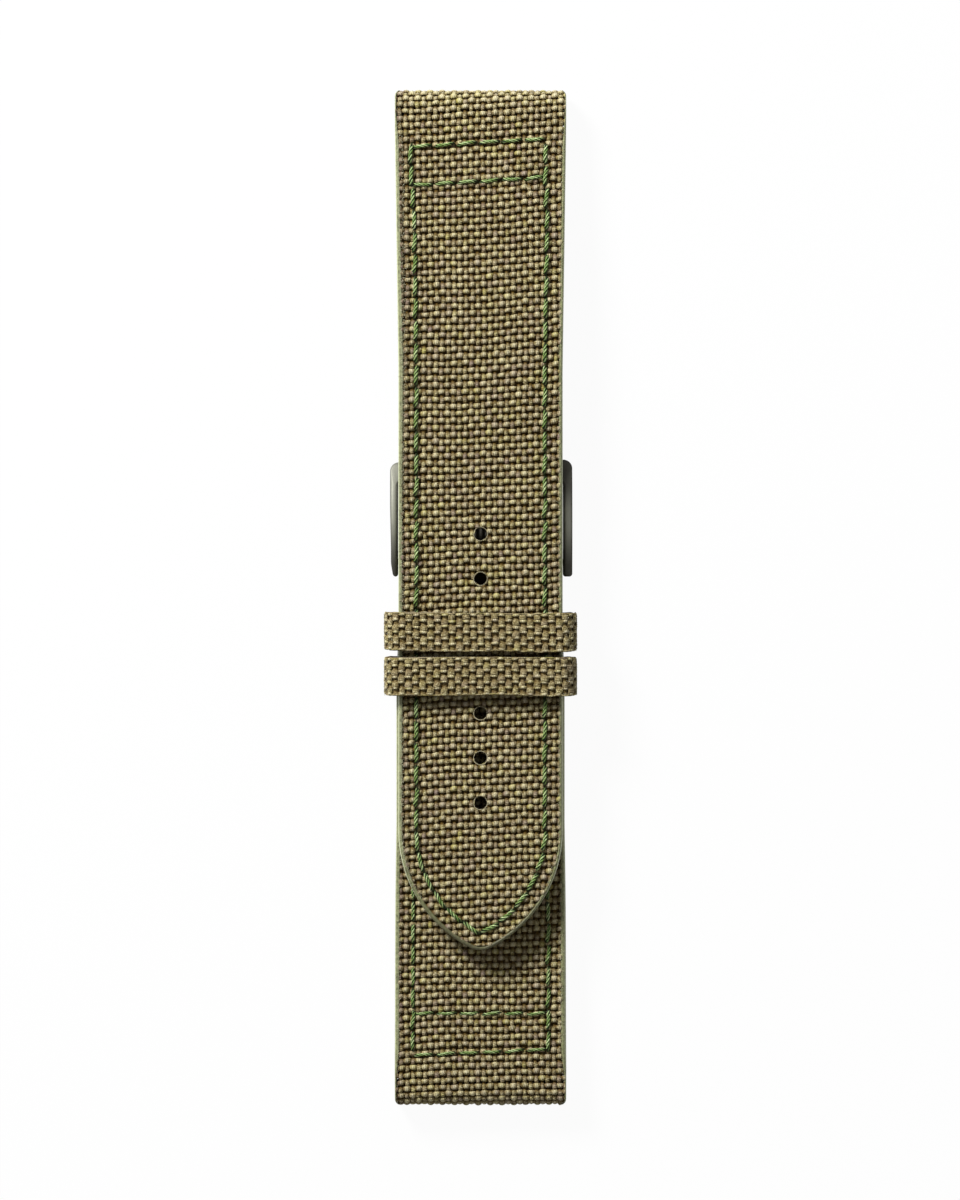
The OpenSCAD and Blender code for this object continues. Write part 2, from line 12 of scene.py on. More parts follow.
import bmesh
import bpy
import numpy as np
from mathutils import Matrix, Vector


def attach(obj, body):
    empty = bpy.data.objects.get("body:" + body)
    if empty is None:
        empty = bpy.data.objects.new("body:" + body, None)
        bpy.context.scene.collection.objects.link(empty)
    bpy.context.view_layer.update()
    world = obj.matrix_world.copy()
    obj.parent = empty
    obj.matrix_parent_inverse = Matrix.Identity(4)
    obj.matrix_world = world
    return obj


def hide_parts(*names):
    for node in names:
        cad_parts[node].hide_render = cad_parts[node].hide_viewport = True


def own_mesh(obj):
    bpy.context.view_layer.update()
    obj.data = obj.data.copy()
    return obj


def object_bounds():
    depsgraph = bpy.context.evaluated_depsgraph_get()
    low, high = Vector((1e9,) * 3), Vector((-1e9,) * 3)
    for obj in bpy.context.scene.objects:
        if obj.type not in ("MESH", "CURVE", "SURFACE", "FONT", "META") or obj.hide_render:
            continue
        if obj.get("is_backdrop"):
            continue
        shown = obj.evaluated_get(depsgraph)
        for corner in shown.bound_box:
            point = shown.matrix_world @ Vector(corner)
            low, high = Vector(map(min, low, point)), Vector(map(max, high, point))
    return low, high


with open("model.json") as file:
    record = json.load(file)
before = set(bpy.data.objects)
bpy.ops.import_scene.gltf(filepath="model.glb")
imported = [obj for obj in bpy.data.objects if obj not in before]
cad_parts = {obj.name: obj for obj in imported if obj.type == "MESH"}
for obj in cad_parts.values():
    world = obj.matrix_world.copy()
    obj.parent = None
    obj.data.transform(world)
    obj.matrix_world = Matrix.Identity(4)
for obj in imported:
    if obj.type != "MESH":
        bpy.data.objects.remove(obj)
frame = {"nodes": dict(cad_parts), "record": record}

MM = 0.001
SCENE = bpy.context.scene
RECORD = frame["record"]
BODY_OF = {node: body for body, nodes in RECORD["behaviour"]["bodies"].items() for node in nodes}
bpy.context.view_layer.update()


def put(name, data):
    """A new object in the scene."""
    made = bpy.data.objects.new(name, data)
    SCENE.collection.objects.link(made)
    return made


# %% [markdown]
# The camera looks straight down, as in the photograph. A long lens from far away keeps the thick
# and thin ends of the strap at nearly one scale, so the outline stays as flat as in the picture.

# %% Camera straight above
LENS, SENSOR, VIEW_HEIGHT = 300.0, 36.0, 160.85
VIEW_CENTRE = Vector((-0.07, -0.34, 5.0))
eye = put("eye", bpy.data.cameras.new("eye"))
eye.data.lens, eye.data.sensor_width, eye.data.sensor_fit = LENS, SENSOR, "AUTO"
eye.location = VIEW_CENTRE * MM + Vector((0, 0, VIEW_HEIGHT / SENSOR * LENS * MM))
SCENE.camera = eye
print("camera height in m:", round(eye.location.z, 4))

# %% [markdown]
# ## The shape that everything follows
# A strap is easiest to describe from the side: a middle line and a thickness at each place along
# it. The same few formulas as in the CAD source give them here, so that cloth, thread and paint
# all find the same surface.

# %% Sizes along the strap
LUG_W, TAIL_W, TAPER_LEN, FULL_W_LEN = 23.0, 22.0, 38.0, 5.0
TAIL_T, LUG_T, LOOP_R = 2.70, 4.36, 1.65
END = {"long": 68.2, "short": -68.2}
BORE = {"long": 66.02, "short": -66.02}
BAR_Y, BAR_Z, TIP_Y, BORE_Z = 4.8, 2.35, -47.2, 2.18
SHORT_UNDER, SHORT_TOP, LONG_UNDER = 1.30, 4.00, 4.37
LIFT_Y, PAD_START = 16.4, -60.02
TIP_SIDE_R, TIP_SIDE_X, NOSE_R, TIP_START = 17.6, 6.6, 14.0, -31.234
HOLES_Y = [-27.5 + 6.0 * k for k in range(7)]
HOLE_R = CORNER_R = 0.9
SLOT_Y, TONGUE_ROOM = 2.1, 1.3
FACE, BACK = 1, -1
STEP = 0.2


def ease(u):
    v = np.clip(u, 0.0, 1.0)
    return v * v * (3 - 2 * v)


def stacked(*columns):
    """Columns side by side. A single number is repeated down its column."""
    return np.stack(np.broadcast_arrays(*columns), -1)


def long_side(y):
    """Middle height and thickness of the long piece."""
    u = (y - LIFT_Y) / (BORE["long"] - LIFT_Y)
    v = np.clip(u, 0.0, 1.0)
    fall = 1 - v * v * (3 - v) / 2
    middle = LUG_T / 2 + (LONG_UNDER + TAIL_T / 2 - LUG_T / 2) * fall
    return middle, TAIL_T + (LUG_T - TAIL_T) * ease(u)


def short_side(y):
    """Middle height and thickness of the short piece."""
    face = SHORT_TOP + (LUG_T - SHORT_TOP) * (1 - ease((y - PAD_START + 2) / 14))
    back = SHORT_UNDER * ease((y - PAD_START) / 20)
    back = back - (SHORT_UNDER - BAR_Z + LOOP_R) * ease((y - BAR_Y + 4) / 4)
    return (face + back) / 2, face - back


SIDE_VIEW = {"long": long_side, "short": short_side}


def lean(piece, y):
    """Slope of the middle line, in radians."""
    return np.arctan((SIDE_VIEW[piece](y)[0] - SIDE_VIEW[piece](y - 0.01)[0]) / 0.01)


def surface(piece, y, side, depth=0.0):
    """Places (y, z) of the side view at a depth below the face or above the back."""
    middle, thick = SIDE_VIEW[piece](y)
    off, a = side * (thick / 2 - depth), lean(piece, y)
    return stacked(y - off * np.sin(a), middle + off * np.cos(a))


print("long piece at its watch end:", surface("long", BORE["long"], FACE).round(3))

# %% [markdown]
# Seen from above, each piece tapers a little and the long one ends in a blunt point made of two
# side arcs and a nose arc. One function gives the half width at any place, less an inset, and the
# cut edge of the canvas stays a little further in, where the edge paint begins.

# %% Outline from above
BULGE = 0.29
PAINT = {"long": (0.37, 0.28), "short": (0.42, 0.50)}


def half_width(piece, y, inset=0.0):
    end = END[piece]
    share = np.clip((TAPER_LEN - np.abs(end - y)) / (TAPER_LEN - FULL_W_LEN), 0, 1)
    wide = TAIL_W / 2 + (LUG_W - TAIL_W) / 2 * share - inset
    if piece == "short":
        wide = wide + BULGE * ease((-1 - y) / 13) * ease((y + 68) / 32)
    past = np.clip(np.abs(y) - (END["long"] - CORNER_R), 0, CORNER_R)
    past = past * (np.sign(y) == np.sign(end))
    wide = wide - CORNER_R + np.sqrt(CORNER_R ** 2 - past ** 2)
    if piece == "long":
        beyond = np.minimum(y - TIP_START, 0)
        side = np.sqrt(np.maximum((TIP_SIDE_R - inset) ** 2 - beyond ** 2, 0))
        nose = np.maximum((NOSE_R - inset) ** 2 - np.minimum(y - TIP_Y - NOSE_R, 0) ** 2, 0)
        wide = np.where(y < TIP_START, np.minimum(side - TIP_SIDE_X, np.sqrt(nose)), wide)
    return wide


def end_narrowing(y):
    """The painted edge thins out to a seventh of its width at the watch ends."""
    return 0.14 + 0.86 * ease((65.6 - np.abs(y)) / 5.5)


def paint_width(piece, x, y):
    """Width of the bare painted edge beside the canvas, which differs from place to place."""
    left, right = PAINT[piece]
    if piece == "long":
        left = left + 0.12 * np.exp(-(((y - 33) / 13) ** 2))
    return np.where(x < 0, left, right) * end_narrowing(y)


def cut_edge(piece, x, y):
    """Half width of the canvas."""
    return half_width(piece, y, paint_width(piece, x, y))


def from_hole(piece, x, y):
    """Distance outside the nearest hole, or outside the slot for the tongue."""
    if piece == "long":
        return np.min([np.hypot(x, y - h) for h in HOLES_Y], axis=0) - HOLE_R - 0.06
    return np.where(y > SLOT_Y, np.abs(x), np.hypot(x, y - SLOT_Y)) - TONGUE_ROOM


print("half widths:", [float(half_width("long", y)) for y in (-46.0, -40.0, 0.0, 66.0)])

# %% [markdown]
# The seam runs 2.4 mm inside the edge, with cross rows at the watch ends and a point at the tip.
# The stitches' places come from the seam's own pitch. The cloth sinks along the seam, so a
# distance to the seam is useful too.

# %% Seam and stitch places
SEAM_INSET, PITCH = 2.4, 2.95
ROWS = {"long": [(61.0, 1.1), (55.8, 1.1)], "short": [(-61.0, 0.8), (-55.8, 0.0), (-0.1, 0.0)]}
SEAM_SPAN = {"long": (TIP_START, 61.0), "short": (-61.0, -0.1)}
SEAM_TIP_R = TIP_SIDE_R - SEAM_INSET
SEAM_TIP_ANGLE = math.acos(TIP_SIDE_X / SEAM_TIP_R)
NO_SEAM = 9.0


def seam_shift(piece, y):
    """The long piece's box was sewn a little to the left of the middle."""
    return (-0.30 if piece == "long" else 0.0) * ease((y - 50) / 8)


def seam_gap(piece, x, y):
    """Distance from a place to the nearest seam line."""
    low, high = SEAM_SPAN[piece]
    x = x - seam_shift(piece, y)
    beside = np.abs(np.abs(x) - half_width(piece, y, SEAM_INSET))
    gaps = [np.where((y > low) & (y < high), beside, NO_SEAM)]
    for row, rise in ROWS[piece]:
        reach = half_width(piece, row, SEAM_INSET)
        gaps.append(np.abs(y - row - rise * x / (2 * reach)) + np.maximum(np.abs(x) - reach, 0))
    if piece == "long":
        round_tip = np.abs(np.hypot(np.abs(x) + TIP_SIDE_X, y - low) - SEAM_TIP_R)
        gaps.append(np.where(y < low, round_tip, NO_SEAM))
    return np.min(gaps, axis=0)


def shares(length):
    """Middles of equal steps of about one stitch, as shares of a length."""
    count = round(length / PITCH)
    return (np.arange(count) + 0.5) / count


def stitch_places(piece):
    """Each stitch as x, y and its heading from +Y, in radians."""
    low, high = SEAM_SPAN[piece]
    places = [(s * float(half_width(piece, y, SEAM_INSET)) + seam_shift(piece, y), y, 0.0)
              for s in (-1, 1) for y in low + shares(high - low) * (high - low)]
    for row, rise in ROWS[piece]:
        reach = float(half_width(piece, row, SEAM_INSET))
        turn = math.pi / 2 - math.atan(rise / (2 * reach))
        for x in (2 * shares(2 * reach) - 1) * reach:
            places.append((x + seam_shift(piece, row), row + rise * x / (2 * reach), turn))
    if piece == "long":
        for s in (-1, 1):
            for a in SEAM_TIP_ANGLE * shares(SEAM_TIP_R * SEAM_TIP_ANGLE):
                x, y = SEAM_TIP_R * math.cos(a) - TIP_SIDE_X, low - SEAM_TIP_R * math.sin(a)
                places.append((s * x, y, s * a))
    return places


def needle_holes(piece):
    """Both ends of every stitch."""
    x, y, heading = np.transpose(stitch_places(piece))
    ahead = PITCH / 2 * stacked(np.sin(heading), np.cos(heading))
    return np.concatenate([stacked(x, y) - ahead, stacked(x, y) + ahead])


NEEDLE_HOLES = {piece: needle_holes(piece) for piece in SIDE_VIEW}
print("needle holes:", {piece: len(ends) for piece, ends in NEEDLE_HOLES.items()})

# %% [markdown]
# ## Materials
# Shader maths is easier to read as sums than as a web of nodes. A small class wraps a socket, so
# that a plus or a times on it adds the Math node. Everything else comes from one method that
# makes a node, applies its settings and then feeds its sockets.

# %% A readable way to write materials


class Number:
    """A value inside a material. Sums on it add Math nodes."""

    def __init__(self, finish, socket):
        self.finish, self.socket = finish, socket

    def __add__(self, other):
        return self.finish.maths("ADD", self, other)

    __radd__ = __add__

    def __sub__(self, other):
        return self.finish.maths("SUBTRACT", self, other)

    def __rsub__(self, other):
        return self.finish.maths("SUBTRACT", other, self)

    def __mul__(self, other):
        return self.finish.maths("MULTIPLY", self, other)

    __rmul__ = __mul__

    def also(self, output):
        """Another output of the same node."""
        return Number(self.finish, self.socket.node.outputs[output])


class Finish:
    """The nodes of a material, or of the world. Its main shader's sockets are fed by name."""

    def __init__(self, name, world=None, **constants):
        self.material = world or bpy.data.materials.new(name)
        self.material.use_nodes = True
        self.nodes, self.links = self.material.node_tree.nodes, self.material.node_tree.links
        self.shader = self.nodes["Background" if world else "Principled BSDF"]
        self.wear(**constants)

    def wear(self, **values):
        for key, value in values.items():
            key = key.replace("_", " ").title().replace("Ior", "IOR")
            self.feed(self.shader.inputs[key], value)

    def feed(self, socket, value):
        if isinstance(value, Number):
            self.links.new(value.socket, socket)
        else:
            socket.default_value = value

    def node(self, kind, settings=None, sockets=None, out=0):
        made = self.nodes.new("ShaderNode" + kind)
        for key, value in (settings or {}).items():
            setattr(made, key, value)
        for key, value in (sockets or {}).items():
            self.feed(made.inputs[key], value)
        return Number(self, made.outputs[out])

    def maths(self, operation, *values):
        return self.node("Math", {"operation": operation}, dict(enumerate(values)))

    def vector(self, operation, *values):
        return self.node("VectorMath", {"operation": operation}, dict(enumerate(values)))

    def mix(self, share, a, b):
        a, b = ((*c, 1.0) if isinstance(c, tuple) else c for c in (a, b))
        return self.node("Mix", {"data_type": "RGBA"}, {0: share, 6: a, 7: b}, 2)

    def ramp(self, value, *stops):
        """A colour for each level of a value. A stop is a level and its colour."""
        made = self.node("ValToRGB", None, {0: value})
        spots = made.socket.node.color_ramp.elements
        while len(spots) < len(stops):
            spots.new(0.5)
        for spot, (level, colour) in zip(spots, stops):
            spot.position, spot.color = level, (*colour, 1.0)
        return made

    def rise(self, value, low, high, most=1.0):
        """0 up to low, then smoothly up to most at high."""
        sockets = {0: value, 1: low, 2: high, 3: 0.0, 4: most}
        return self.node("MapRange", {"interpolation_type": "SMOOTHSTEP"}, sockets)

    def place(self):
        return self.node("TexCoord", out="Object")

    def noise(self, scale, detail=2.0, at=None, roughness=0.5):
        sockets = {"Vector": at or self.place(), "Scale": scale, "Detail": detail}
        return self.node("TexNoise", None, {**sockets, "Roughness": roughness})

    def cells(self, feature, scale):
        sockets = {"Vector": self.place(), "Scale": scale}
        return self.node("TexVoronoi", {"feature": feature}, sockets)

    def attribute(self, name):
        return self.node("Attribute", {"attribute_name": name}, None, "Fac")

    def along_yarn(self):
        """Places along and around a yarn, from its mesh's own map."""
        run = self.node("SeparateXYZ", None, {0: self.node("UVMap", {"uv_map": "weave"})})
        return run, run.also(1)

    def fibres(self, scale, stretch, slant, around_scale):
        """Streaks that run along a yarn and wind round it, others on each yarn by its tone."""
        run, around = self.along_yarn()
        sockets = {0: run * stretch + around * slant, 1: around * around_scale,
                   2: self.attribute("tone") * 3}
        return self.noise(scale, 3.0, self.node("CombineXYZ", None, sockets), 0.6)

    def bump(self, height, distance, strength=1.0):
        sockets = {"Height": height, "Distance": distance, "Strength": strength}
        return self.node("Bump", None, sockets)


print("material helpers ready")

# %% [markdown]
# ### Canvas yarn
# Each yarn is a bundle of khaki fibres with a slight twist. Some floats are yellower, others
# purplish. Painted shade darkens the places where a yarn dives under its neighbour, the sides and
# undersides of the yarns and the sunk seam. The highest tops are painted pale, partly as wear and
# partly as a painted highlight. The mesh carries this as point values, and a map along and around
# each yarn carries the twist.

# %% Yarn finish
DARK, KHAKI, LIGHT = (0.14, 0.104, 0.040), (0.345, 0.285, 0.135), (0.60, 0.53, 0.305)
PALE, PURPLISH, YELLOW = (0.76, 0.71, 0.50), (0.25, 0.18, 0.145), (0.42, 0.37, 0.10)
SHADED = (0.098, 0.054, 0.006)
PLIES = 2
YARN = Finish("canvas_yarn", roughness=0.9, sheen_weight=0.05, sheen_roughness=0.6,
              specular_ior_level=0.12)
run, around = YARN.along_yarn()
tone, tint, lift = (YARN.attribute(key) for key in ("tone", "tint", "lift"))
twist = YARN.maths("SINE", (run * 2.2 + around) * 2 * math.pi * PLIES)
streaks, specks = YARN.fibres(2.2, 1.6, 1.2, 9), YARN.noise(4300, 2.0)
level = 0.5 + tone * 0.15 + (streaks - 0.5) * 2.0 + (specks - 0.5) * 1.9 + twist * 0.13
colour = YARN.ramp(level, (0.12, DARK), (0.5, KHAKI), (0.92, LIGHT))
colour = YARN.mix((tint - 0.15) * 0.7, colour, YELLOW)
colour = YARN.mix(tint * -1.0 * 0.6, colour, PURPLISH)
# The highest tops are painted pale, partly as wear on the high points and partly as a painted
# highlight.
colour = YARN.mix(YARN.rise(lift + streaks * 0.5, 1.25, 1.95, 0.5), colour, PALE)
# Painted shade: the lower a point's painted light level, the nearer its colour comes to the dark
# shade colour.
colour = YARN.mix(1.0 - YARN.rise(lift, -0.60, 1.40), colour, SHADED)
relief = streaks * 0.8 + twist * 0.3 + specks * 0.5
YARN.wear(base_color=colour, normal=YARN.bump(relief, 0.00007, 0.85))
print("yarn nodes:", len(YARN.nodes))

# %% [markdown]
# ### Padding, lining, edge paint and thread
# What shows between the yarns is nearly black-brown: the padding's colour is painted shade for
# the gaps. The lining is fine-grained leather, the edge is several coats of olive paint that dry a
# little uneven, and the thread is waxed green polyester.

# %% Padding finish
# Painted shade: the felt is near-black so that the gaps between the yarns look shaded.
PADDING = Finish("padding_felt", roughness=0.95, specular_ior_level=0.1)
felt = PADDING.noise(2600, 3.0)
PADDING.wear(
    base_color=PADDING.mix(felt, (0.035, 0.019, 0.005), (0.10, 0.060, 0.018)),
    normal=PADDING.bump(felt, 0.00006),
)
print("padding nodes:", len(PADDING.nodes))

# %% Leather lining finish
LEATHER = Finish("lining_leather", roughness=0.62, specular_ior_level=0.35)
pores, creases = LEATHER.cells("F1", 2300), LEATHER.cells("DISTANCE_TO_EDGE", 900)
blotch = LEATHER.noise(160, 4.0)
hide = LEATHER.mix(blotch, (0.13, 0.10, 0.055), (0.235, 0.19, 0.115))
hide = LEATHER.mix(LEATHER.maths("LESS_THAN", pores, 0.16) * 0.5, hide, (0.06, 0.045, 0.028))
grain = LEATHER.maths("MINIMUM", creases, 0.12) * 6 + pores * 0.5
LEATHER.wear(
    base_color=hide,
    roughness=0.55 + blotch * 0.2,
    normal=LEATHER.bump(grain, 0.00006, 0.5),
)
print("leather nodes:", len(LEATHER.nodes))

# %% Edge paint finish
EDGE = Finish("edge_paint", roughness=0.42, specular_ior_level=0.45, coat_roughness=0.35)
coats, grime, rim = EDGE.noise(420, 3.0), EDGE.noise(2400, 3.0), EDGE.attribute("rim")
mottle = ((coats - 0.5) * 1.2 + (grime - 0.5) * 2.6) + 0.5
paint = EDGE.mix(mottle, (0.070, 0.072, 0.022), (0.27, 0.285, 0.13))
# Darker towards the long piece's tip, where the rim value falls below 0.
paint = EDGE.mix(rim * -1.0, paint, (0.060, 0.050, 0.024))
# Painted highlight on the bead's lip and outer edge.
paint = EDGE.mix(rim * (grime * 0.9 + 0.5), paint, (0.62, 0.65, 0.41))
paint = EDGE.mix(EDGE.maths("GREATER_THAN", grime, 0.62) * 0.25, paint, (0.14, 0.13, 0.07))
EDGE.wear(
    base_color=paint,
    roughness=0.36 + grime * 0.25,
    normal=EDGE.bump(coats * 0.8 + grime * 0.35, 0.00008, 0.6),
)
print("edge paint nodes:", len(EDGE.nodes))

# %% Thread finish
MOSS, LEAF, SHINE = (0.035, 0.075, 0.006), (0.16, 0.28, 0.05), (0.68, 0.80, 0.42)
THREAD = Finish("sewing_thread", roughness=0.6, specular_ior_level=0.3)
plied = THREAD.fibres(2.6, 1.3, 1.1, 7)
green = plied + THREAD.attribute("tone") * 0.07
green = THREAD.ramp(green, (0.22, MOSS), (0.47, LEAF), (0.72, SHINE))
# Painted shade where each stitch dives into its needle holes and in the grooves between plies.
shade = 1.0 - THREAD.rise(THREAD.attribute("lift"), 0.1, 0.85)
THREAD.wear(
    base_color=THREAD.mix(shade, green, (0.012, 0.020, 0.002)),
    normal=THREAD.bump(plied, 0.00004, 0.7),
)
print("thread nodes:", len(THREAD.nodes))

# %% [markdown]
# ### Metal
# The buckle is dark satin-coated steel, brushed finely along its arms; its ridges carry a painted
# highlight, stronger on the left arm, which faces the light. The tongue is the same steel painted
# darker, as painted shade. The spring bar inside is plain bright steel. The watch ends' sleeves
# are nylon tape with fine ribs.

# %% Metal and tape finishes
BUCKLE = Finish("buckle_steel", metallic=0.80, roughness=0.50)
brush = BUCKLE.vector("MULTIPLY", BUCKLE.place(), (9000.0, 500.0, 9000.0))
lines, smudge = BUCKLE.noise(1.0, 3.0, brush), BUCKLE.noise(300, 3.0)
# Painted highlight on the arms' ridges, stronger on the left arm, which faces the light.
brightness_shift = BUCKLE.attribute("rim") + (smudge - 0.5) * 0.5
BUCKLE.wear(
    base_color=BUCKLE.mix(brightness_shift, (0.011, 0.009, 0.006), (0.25, 0.25, 0.208)),
    roughness=0.50 + lines * 0.12 + smudge * 0.12,
    normal=BUCKLE.bump(lines, 0.00001, 0.35),
)
# Painted shade: the tongue is the buckle's steel made darker, as it lies in shade under the
# strap's hole.
TONGUE_SHADED_STEEL = Finish("tongue_steel_painted_shade", metallic=0.9, roughness=0.32)
steel = TONGUE_SHADED_STEEL.mix(TONGUE_SHADED_STEEL.noise(500, 3.0), (0.045, 0.04, 0.032), (0.10, 0.095, 0.08))
TONGUE_SHADED_STEEL.wear(base_color=steel)
BAR = Finish("bar_steel", metallic=1.0, roughness=0.3)
drawn = BAR.noise(1.0, 2.0, BAR.vector("MULTIPLY", BAR.place(), (700.0, 9000.0, 9000.0)))
BAR.wear(
    base_color=BAR.mix(drawn, (0.42, 0.42, 0.41), (0.60, 0.60, 0.59)),
    roughness=0.22 + drawn * 0.2,
)
TAPE = Finish("sleeve_tape", roughness=0.8)
ribs = TAPE.node("TexWave", {"wave_type": "BANDS", "bands_direction": "X"},
                 {"Vector": TAPE.place(), "Scale": 900.0, "Distortion": 0.6})
TAPE.wear(
    base_color=TAPE.mix(ribs, (0.05, 0.045, 0.035), (0.14, 0.13, 0.10)),
    normal=TAPE.bump(ribs, 0.00005, 0.6),
)
print("metal finishes ready")

# %% [markdown]
# ## Mesh helpers
# Two ways of making a mesh are enough for the whole strap: tubes that follow a path, for yarns and
# thread, and lofts through closed rings, for bands, slabs and bars. A piece rides on the body of
# the CAD node that it stands for.

# %% Put a mesh in the scene


def add_piece(name, mesh, finish, node):
    """Makes the object and lets it stand for a CAD node, on that node's body."""
    made = put(name, mesh)
    mesh.materials.append(finish.material)
    mesh.polygons.foreach_set("use_smooth", np.ones(len(mesh.polygons), bool))
    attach(made, BODY_OF[node])
    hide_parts(node)
    print(f"{name}: {len(mesh.polygons)} faces on {BODY_OF[node]}")
    return made


def fill(layer, key, values):
    layer.data.foreach_set(key, np.asarray(values, np.float32).ravel())


def point_values(mesh, name, values):
    fill(mesh.attributes.new(name, "FLOAT", "POINT"), "value", values)


def travelled(line):
    """Distance along a line to each of its points."""
    return np.r_[0, np.cumsum(np.linalg.norm(np.diff(line, axis=0), axis=1))]


def between(at, u, table):
    """Rows of a table read between its own places u."""
    return np.stack([np.interp(at, u, column) for column in table.T], -1)


print("bodies to ride on:", sorted(set(BODY_OF.values())))

# %% [markdown]
# A tube needs two maps. One tells a material how far along and around the yarn it is. The other,
# for painting the finish on, lays each tube out as a strip of its own, on shelves in a square.

# %% Tubes
YARN_RING = np.radians([-90.0, -20.0, 35.0, 90.0, 145.0, 200.0])
STRIP_GAP, DISC_R, DISC_RISE = 0.30, 0.11, 0.15


def strand(middle, side, up, wide, high, run, **values):
    """One tube: its middle line, the way and size of its half-axes, and values along it."""
    ones = np.ones(len(middle))
    found = {"middle": middle, "side": side * ones[:, None], "up": up * ones[:, None]}
    for key, value in {"wide": wide, "high": high, "run": run, **values}.items():
        found[key] = value * ones
    return found


def quad_corners(a, b, low, high):
    """The map's corners for a grid of quads, from a to b along and from low to high around."""
    return np.stack([stacked(a, low), stacked(b, low), stacked(b, high), stacked(a, high)], 2)


def strip_map(mesh, strands, n):
    """The second map: each tube is a strip, and its two ends are small discs behind it."""
    sizes = []
    for s in strands:
        girth = 2 * np.pi * float(np.mean(np.hypot(s["wide"], s["high"]))) / 1.41421
        sizes.append((travelled(s["middle"]), girth))
    pad = STRIP_GAP
    side = math.sqrt(sum((length[-1] + 4 * pad) * (girth + pad) for length, girth in sizes) * 1.04)
    side = max(side, max(length[-1] for length, _ in sizes) + 5 * pad)
    turn = np.arange(n) * 2 * np.pi / n
    disc = stacked(np.cos(turn), np.sin(turn)) * DISC_R
    strips, ends, x, y, tall = [], [], pad, pad, 0.0
    for length, girth in sizes:
        if x + length[-1] + 3 * pad > side:
            x, y, tall = pad, y + tall + pad, 0.0
        i, k = np.meshgrid(np.arange(len(length) - 1), np.arange(n), indexing="ij")
        low, high = y + girth * k / n, y + girth * (k + 1) / n
        strips.append(quad_corners(x + length[i], x + length[i + 1], low, high).reshape(-1, 2))
        for number, flip in ((1, 1), (2, -1)):
            ends.append(disc * [1, flip] + [x + length[-1] + number * pad, y + DISC_RISE])
        x, tall = x + length[-1] + 3 * pad, max(tall, girth)
    flat = np.concatenate(strips + ends) / max(side, y + tall + pad)
    fill(mesh.uv_layers.new(name="OFBake"), "uv", flat)


def tube_mesh(strands, ring=YARN_RING, cut_to=None, up_light=0.0):
    """One mesh of many tubes, cut to a piece's outline if one is named."""
    points, faces, caps, maps, values = [], [], [], [], {"tone": [], "tint": [], "lift": []}
    start, n = 0, len(ring)
    for s in strands:
        count = len(s["middle"])
        across = np.cos(ring)[None, :, None] * (s["side"] * s["wide"][:, None])[:, None, :]
        upward = np.sin(ring)[None, :, None] * (s["up"] * s["high"][:, None])[:, None, :]
        points.append((s["middle"][:, None, :] + across + upward).reshape(-1, 3))
        i, k = np.meshgrid(np.arange(count - 1), np.arange(n), indexing="ij")
        nxt = (k + 1) % n
        quad = np.stack([i * n + k, (i + 1) * n + k, (i + 1) * n + nxt, i * n + nxt], -1)
        faces.append(quad.reshape(-1, 4) + start)
        last = start + (count - 1) * n
        caps += [list(range(start, start + n)), list(range(last, last + n))[::-1]]
        maps.append(quad_corners(s["run"][i], s["run"][i + 1], k / n, (k + 1) / n).reshape(-1, 2))
        for key in values:
            values[key].append(np.repeat(s[key], n))
        # Painted light and shade: each tube is lighter on the side its up axis points to and
        # darker on its other sides.
        values["lift"][-1] = values["lift"][-1] + up_light * np.tile(np.sin(ring), count)
        start += count * n
    points = np.concatenate(points)
    if cut_to:
        points = cut_points(cut_to, points)
    mesh = bpy.data.meshes.new("tubes")
    mesh.from_pydata((points * MM).tolist(), [], np.concatenate(faces).tolist() + caps)
    maps.append(np.zeros((n * len(caps), 2)))
    fill(mesh.uv_layers.new(name="weave"), "uv", np.concatenate(maps))
    strip_map(mesh, strands, n)
    for key, parts in values.items():
        point_values(mesh, key, np.concatenate(parts))
    return mesh


print("tubes have", len(YARN_RING), "sides")

# %% [markdown]
# A loft is a skin over closed rings. Shapes turned about a cross axis, such as sleeves, are lofts
# too, and holes are drilled with rods by an exact boolean.

# %% Lofts and drills
PAST_EDGE = 13.0


def loft_mesh(rings, closed=False, rim=None):
    """A skin over closed rings of equally many points. Its two ends are filled, or it's closed."""
    rings = np.asarray(rings, float)
    count, n = rings.shape[:2]
    faces = []
    for i in range(count if closed else count - 1):
        a, b = i * n, ((i + 1) % count) * n
        faces += [[a + k, a + (k + 1) % n, b + (k + 1) % n, b + k] for k in range(n)]
    if not closed:
        faces += [list(range(n))[::-1], list(range((count - 1) * n, count * n))]
    mesh = bpy.data.meshes.new("loft")
    mesh.from_pydata((rings.reshape(-1, 3) * MM).tolist(), [], faces)
    if rim is not None:
        point_values(mesh, "rim", rim)
    fix = bmesh.new()
    fix.from_mesh(mesh)
    bmesh.ops.recalc_face_normals(fix, faces=fix.faces)
    fix.to_mesh(mesh)
    fix.free()
    return mesh


def turned(profile, y, z, count=40):
    """A closed shape turned about a cross axis at y, z. The profile lists radius and x."""
    r, x = np.transpose(profile)
    turns = np.linspace(0, 2 * np.pi, count, endpoint=False)
    rings = [np.c_[x, y + r * math.cos(a), z + r * math.sin(a)] for a in turns]
    return loft_mesh(rings, closed=True)


def rod_mesh(start, stop, r, sides=32):
    """A plain closed cylinder between two places, used to drill holes."""
    a, b = np.asarray(start, float), np.asarray(stop, float)
    way = (b - a) / np.linalg.norm(b - a)
    side = np.cross(way, [0.0, 0.0, 1.0]) if abs(way[2]) < 0.9 else np.array([1.0, 0.0, 0.0])
    turn = np.linspace(0, 2 * np.pi, sides, endpoint=False)
    ring = r * (np.cos(turn)[:, None] * side + np.sin(turn)[:, None] * np.cross(way, side))
    return loft_mesh([a + ring, b + ring])


def cross_rod(y, z, r):
    return rod_mesh((-PAST_EDGE, y, z), (PAST_EDGE, y, z), r)


